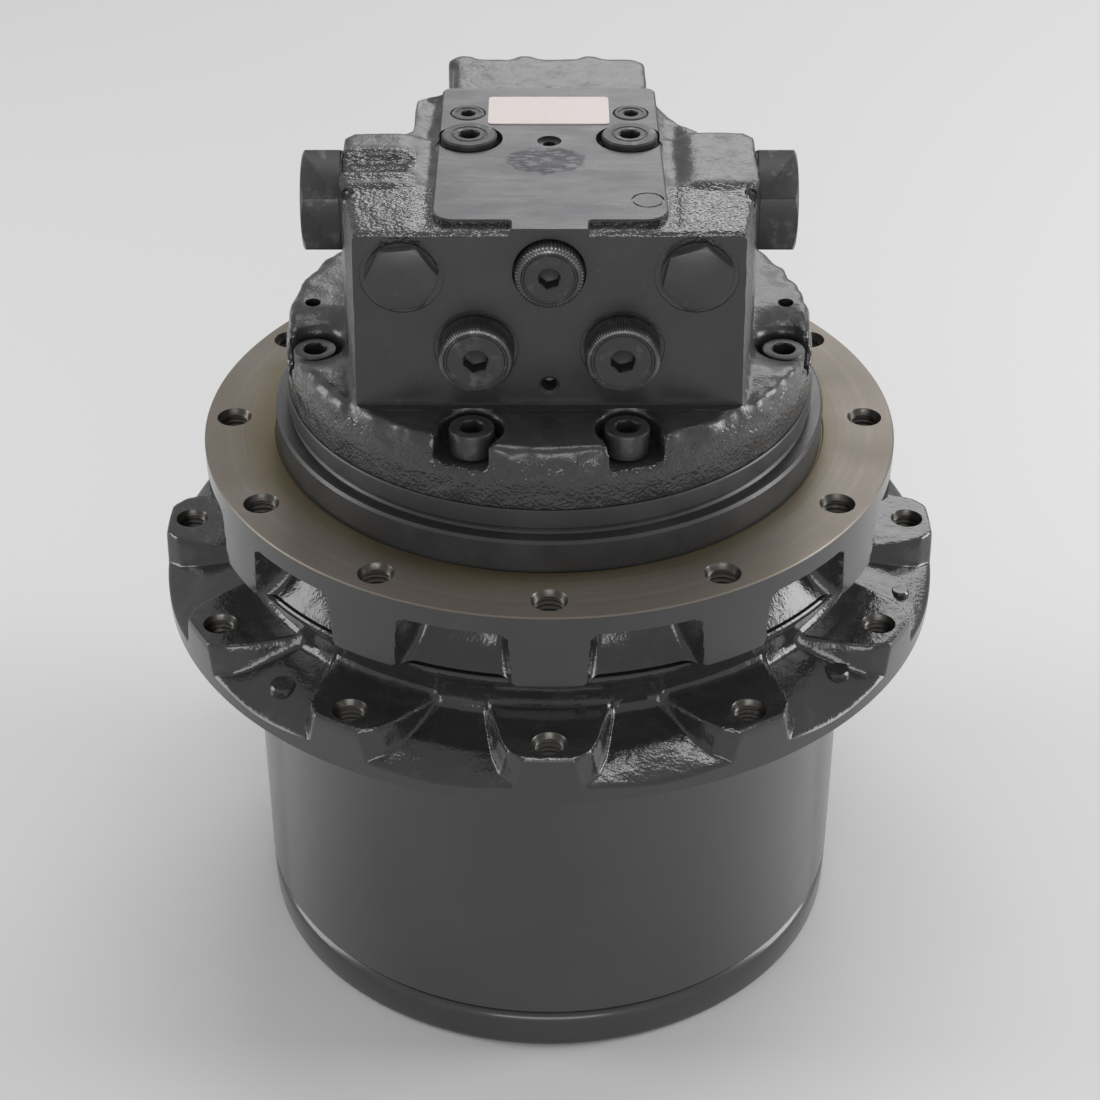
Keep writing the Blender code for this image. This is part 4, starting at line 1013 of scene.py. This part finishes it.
def block_holes():
    """Cutters for the machined holes and recesses of the block."""
    across = shift(y=SPOOL_Y, z=SPOOL_HEIGHT) @ turn(90, "Y")
    ports = [on_front(side * PORT_X, PORT_HEIGHT) for side in SIDES]
    front_plugs = [on_front(side * FRONT_PLUG_X, FRONT_PLUG_HEIGHT) for side in SIDES]
    relief_plugs = [shift(side * RELIEF_PLUG[0], RELIEF_PLUG[1]) for side in SIDES]
    gallery_plugs = [shift(side * GALLERY_PLUG[0], GALLERY_PLUG[1]) for side in SIDES]
    top_port, gauge_port, pad_hole = on_front(0, TOP_PORT_HEIGHT), on_front(0, GAUGE_PORT_HEIGHT), shift(y=PAD_HOLE_Y)
    faces = [placed(rod(21.0, 74.2, 90.0, 64), across), placed(rod(21.0, -90.0, -74.2, 64), across)]
    bores = [placed(rod(11.0, -90.0, 90.0, 48), across)]
    bores += [placed(rod(5.1, BLOCK_BASE - 2, seat + 1, 24), from_front(radius, degrees))
              for radius, degrees, seat in CAP_SCREWS]
    bores.append(rod(20.0, BLOCK_BASE - 2, 262.0, 48))
    bores += [placed(rod(11.0, -22, 2, 48), place) for place in ports]
    bores += [placed(rod(8.4, -15, 2, 48), place) for place in front_plugs]
    recesses = [
        *turned_cutters([(0, -0.35), (14.6, -0.35), (15.6, 2), (0, 2)], 64, ports),
        *turned_cutters([(0, -0.3), (14.4, -0.3), (15.2, 2), (0, 2)], 64, front_plugs),
        *turned_cutters([(0, -4.5), (12.9, -4.5), (12.7, -0.4), (13.0, 2), (0, 2)], 64, [top_port]),
        *turned_cutters([(0, -9), (2.6, -8), (2.6, -1.0), (4.4, 0.6), (4.4, 2), (0, 2)], 32, [gauge_port]),
        *turned_cutters([(0, 329.5), (8.3, 329.5), (8.3, 333.2), (12.2, 333.2), (12.2, 340), (0, 340)], 64,
                        relief_plugs),
        *turned_cutters([(0, 331.0), (6.6, 331.0), (6.6, 336.6), (7.1, 340), (0, 340)], 48, gallery_plugs),
        *turned_cutters([(0, 329), (2.3, 330), (2.3, 335.6), (4.4, 336.0), (4.4, 340), (0, 340)], 32, [pad_hole]),
        *turned_cutters([(5.1, 336.6), (5.7, 336.6), (5.9, 338), (4.9, 338)], 48, [shift(34.0, -46.5)]),
    ]
    for side in SIDES:
        pit = bmesh.new()
        bmesh.ops.create_uvsphere(pit, u_segments=24, v_segments=16, radius=3.4)
        bmesh.ops.scale(pit, vec=(1.0, 1.5, 1.3), verts=pit.verts)
        recesses.append(placed(pit, shift(side * 71.6, -38.0, BLOCK_TOP - 0.4) @ turn(side * 20)))
    lower = [placed(rod(7.4, -16, -2, 32), top_port)]
    lower += [placed(rod(3.0, MOTOR_FLANGE_TOP - 8, MOTOR_FLANGE_TOP + 6, 24), from_front(90.0, side * 95.0))
              for side in SIDES]
    return [gathered(faces), gathered(bores), gathered(recesses), gathered(lower)]


def block_rule(centre, normal):
    """Finish of each face of the block: 0 cast, 1 machined, 2 pad, 3 bore, 4 rubbed corner with painted highlight, 5
    rough cast.
    """
    if centre.z > PAD_TOP - 0.06 and normal.z > 0.9:
        return 2
    if centre.z > MOTOR_FLANGE_TOP and centre.y < FRONT_Y + 0.05 and normal.y < -0.9:
        return 1
    if centre.z < BLOCK_BASE + 0.05 or (abs(centre.x) > 73.6 and abs(normal.x) > 0.95
                                        and hypot(centre.y - SPOOL_Y, centre.z - SPOOL_HEIGHT) < 21.2):
        return 1
    for x, height, reach in FRONT_BORES:
        if FRONT_Y - 0.1 < centre.y < FRONT_Y + 24 and hypot(centre.x - x, centre.z - height) < reach:
            return 3
    # The rough strips at the front corners, which take the painted highlight
    if MOTOR_FLANGE_TOP < centre.z < BLOCK_TOP - 1.0 and -68.3 < centre.y < -34 and abs(normal.x) > 0.6:
        return 4
    if centre.z > 329:
        for x, y in (RELIEF_PLUG, GALLERY_PLUG, (0, PAD_HOLE_Y)):
            if hypot(abs(centre.x) - x, centre.y - y) < 12.3:
                return 3
        if centre.y < -30 or (centre.x < 0 and -28 < centre.y < -2 and abs(centre.x) > 48):
            return 5
    if centre.z < MOTOR_FLANGE_TOP - 4 and centre.to_2d().length > 96:
        return 5
    return 0


# Plugs and screws


def head(profile, across, depth, steps=64, knurl=0):
    """A turned head with a hexagon socket. The profile is (radius, height) from Z = 0; knurl counts ribs."""
    top = profile[-2][1]
    shape = lathe(profile, knurl * 4 if knurl else steps)
    if knurl:
        widest = max(radius for radius, height in profile)
        rib = 2 * pi / knurl

        def move(radius, angle, height):
            radius -= size("knurl_depth") * (0.5 + 0.5 * cos(angle / rib * 2 * pi))
            return radius, angle, height

        reshaped(shape, move, lambda vert: vert.co.to_2d().length > widest - 1.3 and vert.co.z > 0.5)
    socket = prism([hexagon(across, 0.3)], top - depth, top + 3)
    reach = across / 2 / cos(pi / 6)
    mouth = lathe([(0, top - reach), (reach + 0.5, top + 0.5), (reach + 0.5, top + 2), (0, top + 2)], 48)
    floor = lathe([(0, top - depth - 1.6), (across / 2 - 0.2, top - depth + 0.05), (0, top - depth + 0.1)], 32)
    return combined(shape, [socket, mouth, floor])


def cap_screw(seat):
    return head([
        (0, CAP_SCREW_END - seat), (4.7, CAP_SCREW_END - seat), (4.7, 0.3), (7.4, 0.3), (8.0, 0.7), (8.0, 9.2),
        (7.7, 9.8), (7.1, 10.0), (0, 10.0),
    ], across=8.0, depth=5.0)


def port_plug():
    """A round plug with a knurled rim, a groove in its face and a hexagon socket."""
    return head([
        (0, -14), (10.5, -14), (10.5, 0.3), (12.6, 0.3), (13.2, 0.9), (13.2, 8.6), (12.4, 9.7), (11.3, 10.0),
        (10.8, 9.5), (10.2, 9.5), (9.8, 10.0), (0, 10.0),
    ], across=8.0, depth=6.0, knurl=84)


def top_plug():
    """The speed port's plug: knurled, and sunk a little into the port face."""
    return head([
        (0, -9), (6.8, -9), (6.8, 0.3), (11.4, 0.3), (12.0, 0.9), (12.0, 8.0), (11.6, 8.7), (11.0, 9.2),
        (9.9, 9.4), (9.4, 8.9), (8.9, 8.9), (8.5, 9.4), (0, 9.4),
    ], across=7.0, depth=5.4, knurl=56)


def knurl_rule(x, height, reach):
    """Finish of each face of a knurled plug: 0 its face, 1 its rim."""
    return lambda centre, normal: int(hypot(centre.x - x, centre.z - height) > reach)


def relief_plug():
    """A flat round plug that stands just above the pad, in its own counterbore."""
    return head([
        (0, -7.0), (7.6, -7.0), (7.6, -3.5), (9.8, -3.5), (10.1, -3.2), (10.1, 1.2), (9.5, 1.8), (6.6, 1.8),
        (6.3, 1.5), (5.9, 1.5), (5.6, 1.8), (0, 1.8),
    ], across=7.0, depth=5.0)


def gallery_plug():
    return head([
        (0, -5.6), (5.9, -5.6), (6.3, -5.2), (6.3, -0.2), (5.8, 0.3), (4.6, 0.3), (4.4, 0.0), (4.2, 0.0),
        (0, 0.0),
    ], across=5.0, depth=4.0)


def hexagon_head(across, bottom, top, start, crown=1.0):
    """A hexagon whose outer end is turned to a cone, so that its corners show curved edges."""
    shape = prism([hexagon(across, start)], bottom, top)
    inner, outer, slope = across / 2 - crown * 0.3, across / 2 / cos(pi / 6) + 3, 0.5
    ring = lathe([(inner, top + 0.01), (outer, top - slope * (outer - inner)), (outer, top + 3), (inner, top + 3)],
                 96)
    shape = combined(shape, [ring])
    corners = [edge for edge in shape.edges if edge.is_manifold and edge.calc_face_angle() > 0.9
               and abs(edge.verts[0].co.z - edge.verts[1].co.z) > 1.0]
    bmesh.ops.bevel(shape, geom=corners, affect="EDGES", offset=0.35, segments=1, profile=0.5, material=-1)
    return shape


def front_plug(side):
    shape = hexagon_head(22.2, 0.3, 4.4, radians(5 if side < 0 else 18))
    return combined(shape, [rod(7.9, -13, 2, 48), rod(12.4, 0.0, 1.0, 64)], "UNION")


def spool_cap(side):
    """A hexagon with one corner turned towards the upper front."""
    shape = hexagon_head(35.5, 75.0, 89.0, radians(3 * side), 1.4)
    return combined(shape, [rod(10.4, 66.0, 77.0, 48), rod(17.4, 74.3, 76.2, 64)], "UNION")


# Operators


class PieceOperator:
    """What every operator here shares."""

    bl_options = {"REGISTER", "UNDO"}

    def execute(self, context):
        self.build()
        return {"FINISHED"}


class FINALDRIVE_OT_hub(PieceOperator, bpy.types.Operator):
    """Adds the hub casting with its tapped bosses, and its ring gear"""

    bl_idname = "finaldrive.hub"
    bl_label = "Hub"

    def build(self):
        finishes = ("cast_enamel", "machined_enamel", "drum_enamel", "thread_steel")
        add_piece("hub_casting", hub_casting(), finishes, "hub", ("hub",), hub_rule, 38)
        add_piece("ring_gear", ring_gear(), ("gear_steel",), "hub", ("hub",))


COVER_SCREW_CIRCLE = 103.0
LEVEL_PLUG_CIRCLE = 60.0
COVER_PROFILE = (
    (0, 0), (115.4, 0), (117.6, 0.7), (118.7, 2.2), (118.9, 3.4), (119.2, 13.6), (118.9, 15.2), (118.2, 16.4),
    (117.0, 17.3), (115.8, 18.0), (109.8, 18.0), (109.8, 24.0), (98.0, 24.0), (94.0, 9.0), (16.0, 9.0),
    (16.0, 26.8), (0, 26.8),
)


class FINALDRIVE_OT_end_cover(PieceOperator, bpy.types.Operator):
    """Adds the end cover with its sunk socket screws and level plugs"""

    bl_idname = "finaldrive.end_cover"
    bl_label = "End cover"

    def build(self):
        screws = [from_front(COVER_SCREW_CIRCLE, 45 * (step + 0.5)) for step in range(8)]
        plugs = [from_front(LEVEL_PLUG_CIRCLE, degrees) for degrees in (0, 90)]
        shape = combined(lathe(COVER_PROFILE, 240), [
            gathered([placed(rod(7.5, -2, 9.0, 40), place) for place in screws]),
            gathered([placed(rod(9.0, -2, 2.0, 40), place) for place in plugs]),
        ])
        add_piece("end_cover_casting", shape, ("drum_enamel",), "hub", ("end_cover",))
        screw = [(0, -1.0), (6.4, -1.0), (6.8, -0.6), (6.8, 7.2), (6.2, 7.9), (0, 7.9)]
        plug = [(0, -1.0), (8.2, -1.0), (8.7, -0.5), (8.7, 1.4), (8.2, 1.9), (0, 1.9)]
        heads = []
        for profile, depth, height, places in ((screw, 5.0, 8.0, screws), (plug, 2.4, 2.2, plugs)):
            heads += [placed(head(profile, 8.0, depth, 40), place @ shift(z=height) @ turn(180, "X"))
                      for place in places]
        add_piece("end_cover_screws", gathered(heads), ("phosphated_steel",), "hub")


class FINALDRIVE_OT_spindle(PieceOperator, bpy.types.Operator):
    """Adds the spindle casting with its frame flange, pilot and motor case"""

    bl_idname = "finaldrive.spindle"
    bl_label = "Spindle"

    def build(self):
        finishes = ("cast_enamel", "machined_enamel", "turned_steel", "thread_steel", "drum_enamel")
        add_piece("spindle_casting", spindle_casting(), finishes, "spindle", ("spindle",),
                  spindle_rule, 38)


class FINALDRIVE_OT_valve_block(PieceOperator, bpy.types.Operator):
    """Adds the valve block casting with its machined faces and bores"""

    bl_idname = "finaldrive.valve_block"
    bl_label = "Valve block"

    def build(self):
        finishes = ("block_cast", "machined_enamel", "pad_enamel", "phosphated_steel", "chipped_cast_and_highlight", "rough_cast")
        add_piece("valve_block_casting", block_casting(), finishes, "spindle", ("valve_block",),
                  block_rule, 40)


class FINALDRIVE_OT_plugs(PieceOperator, bpy.types.Operator):
    """Adds the plugs of the port face, of the pad and of the spool bore"""

    bl_idname = "finaldrive.plugs"
    bl_label = "Plugs"

    def build(self):
        steel = ("phosphated_steel",)
        knurled = ("phosphated_steel", "knurled_steel")
        for side, word in ((-1, "left"), (1, "right")):
            port = on_front(side * PORT_X, PORT_HEIGHT)
            add_piece(f"knurled_plug_{word}", placed(port_plug(), port), knurled, "spindle",
                      (f"port_plug_{word}",), knurl_rule(side * PORT_X, PORT_HEIGHT, 11.5))
            hexagonal = placed(front_plug(side), on_front(side * FRONT_PLUG_X, FRONT_PLUG_HEIGHT))
            add_piece(f"hexagon_plug_{word}", hexagonal, ("machined_enamel",), "spindle",
                      (f"front_plug_{word}",))
            relief = placed(relief_plug(), shift(side * RELIEF_PLUG[0], RELIEF_PLUG[1], PAD_TOP))
            add_piece(f"socket_plug_{word}", relief, steel, "spindle", (f"relief_plug_{word}",))
            gallery = placed(gallery_plug(), shift(side * GALLERY_PLUG[0], GALLERY_PLUG[1], PAD_TOP))
            add_piece(f"gallery_plug_{word}", gallery, steel, "spindle")
            across = shift(y=SPOOL_Y, z=SPOOL_HEIGHT) @ turn(90 * side, "Y")
            add_piece(f"spool_cap_head_{word}", placed(spool_cap(side), across), steel, "spindle",
                      (f"spool_cap_{word}",))
        middle = placed(top_plug(), on_front(0, TOP_PORT_HEIGHT) @ shift(z=-4.5))
        add_piece("knurled_plug_top", middle, knurled, "spindle", ("port_plug_top",),
                  knurl_rule(0, TOP_PORT_HEIGHT, 10.0))


class FINALDRIVE_OT_cap_screws(PieceOperator, bpy.types.Operator):
    """Adds the socket head cap screws that hold the valve block"""

    bl_idname = "finaldrive.cap_screws"
    bl_label = "Cap screws"

    def build(self):
        for number, (radius, degrees, seat) in enumerate(CAP_SCREWS, 1):
            screw = placed(cap_screw(seat), from_front(radius, degrees, seat))
            add_piece(f"cap_screw_head_{number}", screw, ("phosphated_steel",), "spindle",
                      (f"cap_screw_{number}",))


class FINALDRIVE_OT_plate(PieceOperator, bpy.types.Operator):
    """Adds the bare plate on the pad"""

    bl_idname = "finaldrive.plate"
    bl_label = "Bare plate"

    def build(self):
        outline = rounded([(-22.5, 15.6, 1.6), (22.0, 15.6, 1.6), (22.0, 39.5, 1.6), (-22.5, 39.5, 1.6)])
        add_piece("bare_plate", prism([outline], PAD_TOP - 0.05, PAD_TOP + 0.35), ("bare_plate",), "spindle")


class FINALDRIVE_OT_inner_parts(PieceOperator, bpy.types.Operator):
    """Gives every carried-over solid the finish of its material slot"""

    bl_idname = "finaldrive.inner_parts"
    bl_label = "Inner parts"

    def build(self):
        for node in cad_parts.values():
            for index, old in enumerate(node.data.materials):
                slot = old.name.split(".")[0]
                name = SLOT_FINISHES.get(slot, slot)
                if name not in FINISHES:
                    raise RuntimeError(f"{node.name} has the slot {slot}, which has no finish")
                node.data.materials[index] = finish_named(name)


# The stage, in metres. Each lamp: name, place, width and height, power in watts; all face the drive.
LAMP_AIM = (0, 0, 0.2)
LAMPS = (
    ("back_softbox", (0.68, 1.9, 1.35), (2.0, 0.8), 14.0),
    ("left_strip", (-1.5, 0.1, 0.55), (0.6, 1.2), 10.0),
    ("right_strip", (1.5, 0.1, 0.55), (0.6, 1.2), 15.0),
    ("overhead", (0.1, 0.35, 1.9), (1.2, 0.25), 5.5),
    ("front_softbox", (0.0, -2.2, 0.7), (1.6, 0.8), 14.0),
)
WORLD_STRENGTH = 0.44
CAMERA_PLACE = (0.00024, -0.8010, 0.7074)
CAMERA_AIM = (0.00024, 0, 0.1590)
CAMERA_LENS = 79.0         # millimetres, as is the sensor
CAMERA_SENSOR = 36.0
# Distances from the drive between which the floor turns into the background
FADE_START = 1.2
FADE_END = 2.4


def facing(place, aim):
    """A place whose -Z looks at another one."""
    towards = Vector(aim) - Vector(place)
    return Matrix.Translation(place) @ towards.to_track_quat("-Z", "Y").to_matrix().to_4x4()


def seen_directly(tree):
    """1 for rays from the camera, and for those by which metal and glass show the background."""
    path = tree.nodes.new("ShaderNodeLightPath")
    shown = path.outputs["Is Camera Ray"]
    for ray in ("Is Glossy Ray", "Is Transmission Ray"):
        either = tree.nodes.new("ShaderNodeMath")
        either.operation = "MAXIMUM"
        tree.links.new(shown, either.inputs[0])
        tree.links.new(path.outputs[ray], either.inputs[1])
        shown = either.outputs[0]
    return shown


def show_mixed(tree, output, share, first, second):
    """Feeds a mix of two shaders to the output node; the share is that of the second."""
    mix = tree.nodes.new("ShaderNodeMixShader")
    for source, socket in zip((share, first.outputs[0], second.outputs[0]), mix.inputs):
        tree.links.new(source, socket)
    tree.links.new(mix.outputs[0], tree.nodes[output].inputs["Surface"])


class FINALDRIVE_OT_stage(PieceOperator, bpy.types.Operator):
    """Adds the floor, the lamps, the world and the camera"""

    bl_idname = "finaldrive.stage"
    bl_label = "Stage"

    def build(self):
        self.add_floor()
        self.add_world()
        for name, place, spread, power in LAMPS:
            lamp = bpy.data.lights.new(name, "AREA")
            lamp.shape = "RECTANGLE"
            lamp.size, lamp.size_y = spread
            lamp.energy = power
            added(name, lamp).matrix_world = facing(place, LAMP_AIM)
        camera = bpy.data.cameras.new("camera")
        camera.lens = CAMERA_LENS
        camera.sensor_width = CAMERA_SENSOR
        made = added("camera", camera)
        made.matrix_world = facing(CAMERA_PLACE, CAMERA_AIM)
        bpy.context.scene.camera = made
        bpy.context.scene.view_settings.view_transform = "Standard"

    def add_floor(self):
        shape = bmesh.new()
        bmesh.ops.create_grid(shape, x_segments=1, y_segments=1, size=6.0)
        floor = added("floor", as_mesh("floor", shape))
        finish = Finish("floor", {"Base Color": tint("floor"), "Roughness": 1.0, "Specular IOR Level": 0.0})
        floor.data.materials.append(finish.material)
        self.fade_out(finish)

    def fade_out(self, finish):
        """Lets the far floor take the background's colour, so that no edge or horizon shows."""
        far = finish.tree.nodes.new("ShaderNodeEmission")
        far.inputs["Color"].default_value = tint("background")
        shown = finish.between(finish.radius(), FADE_START, FADE_END) * Signal(finish, seen_directly(finish.tree))
        show_mixed(finish.tree, "Material Output", shown.socket, finish.shader, far)

    def add_world(self):
        """Soft light from all round; the camera and reflections see the background's own colour."""
        world = bpy.context.scene.world or bpy.data.worlds.new("studio")
        bpy.context.scene.world = world
        world.use_nodes = True
        tree = world.node_tree
        background = tree.nodes["Background"]
        background.inputs["Color"].default_value = (1.0, 1.0, 1.0, 1.0)
        background.inputs["Strength"].default_value = WORLD_STRENGTH
        seen = tree.nodes.new("ShaderNodeBackground")
        seen.inputs["Color"].default_value = tint("background")
        show_mixed(tree, "World Output", seen_directly(tree), background, seen)


OPERATORS = (
    FINALDRIVE_OT_stage,
    FINALDRIVE_OT_inner_parts,
    FINALDRIVE_OT_hub,
    FINALDRIVE_OT_end_cover,
    FINALDRIVE_OT_spindle,
    FINALDRIVE_OT_valve_block,
    FINALDRIVE_OT_plugs,
    FINALDRIVE_OT_cap_screws,
    FINALDRIVE_OT_plate,
)


class FINALDRIVE_PT_panel(bpy.types.Panel):
    """Sizes, colours and buttons for the pieces of the final drive"""

    bl_idname = "FINALDRIVE_PT_panel"
    bl_label = "Final Drive"
    bl_space_type = "VIEW_3D"
    bl_region_type = "UI"
    bl_category = "Final Drive"

    def draw(self, context):
        for group in (context.scene.drive_sizes, context.scene.drive_colours):
            column = self.layout.column()
            for name in group.__annotations__:
                column.prop(group, name)
        for operator in OPERATORS:
            self.layout.operator(operator.bl_idname)


CLASSES = (DriveSizes, DriveColours, *OPERATORS, FINALDRIVE_PT_panel)


def register():
    for each in CLASSES:
        bpy.utils.register_class(each)
    bpy.types.Scene.drive_sizes = PointerProperty(type=DriveSizes)
    bpy.types.Scene.drive_colours = PointerProperty(type=DriveColours)


def unregister():
    del bpy.types.Scene.drive_colours
    del bpy.types.Scene.drive_sizes
    for each in reversed(CLASSES):
        bpy.utils.unregister_class(each)


def main():
    register()
    bpy.ops.finaldrive.stage()
    bpy.ops.finaldrive.inner_parts()
    bpy.ops.finaldrive.hub()
    bpy.ops.finaldrive.end_cover()
    bpy.ops.finaldrive.spindle()
    bpy.ops.finaldrive.valve_block()
    bpy.ops.finaldrive.plugs()
    bpy.ops.finaldrive.cap_screws()
    bpy.ops.finaldrive.plate()


if __name__ == "__main__":
    main()
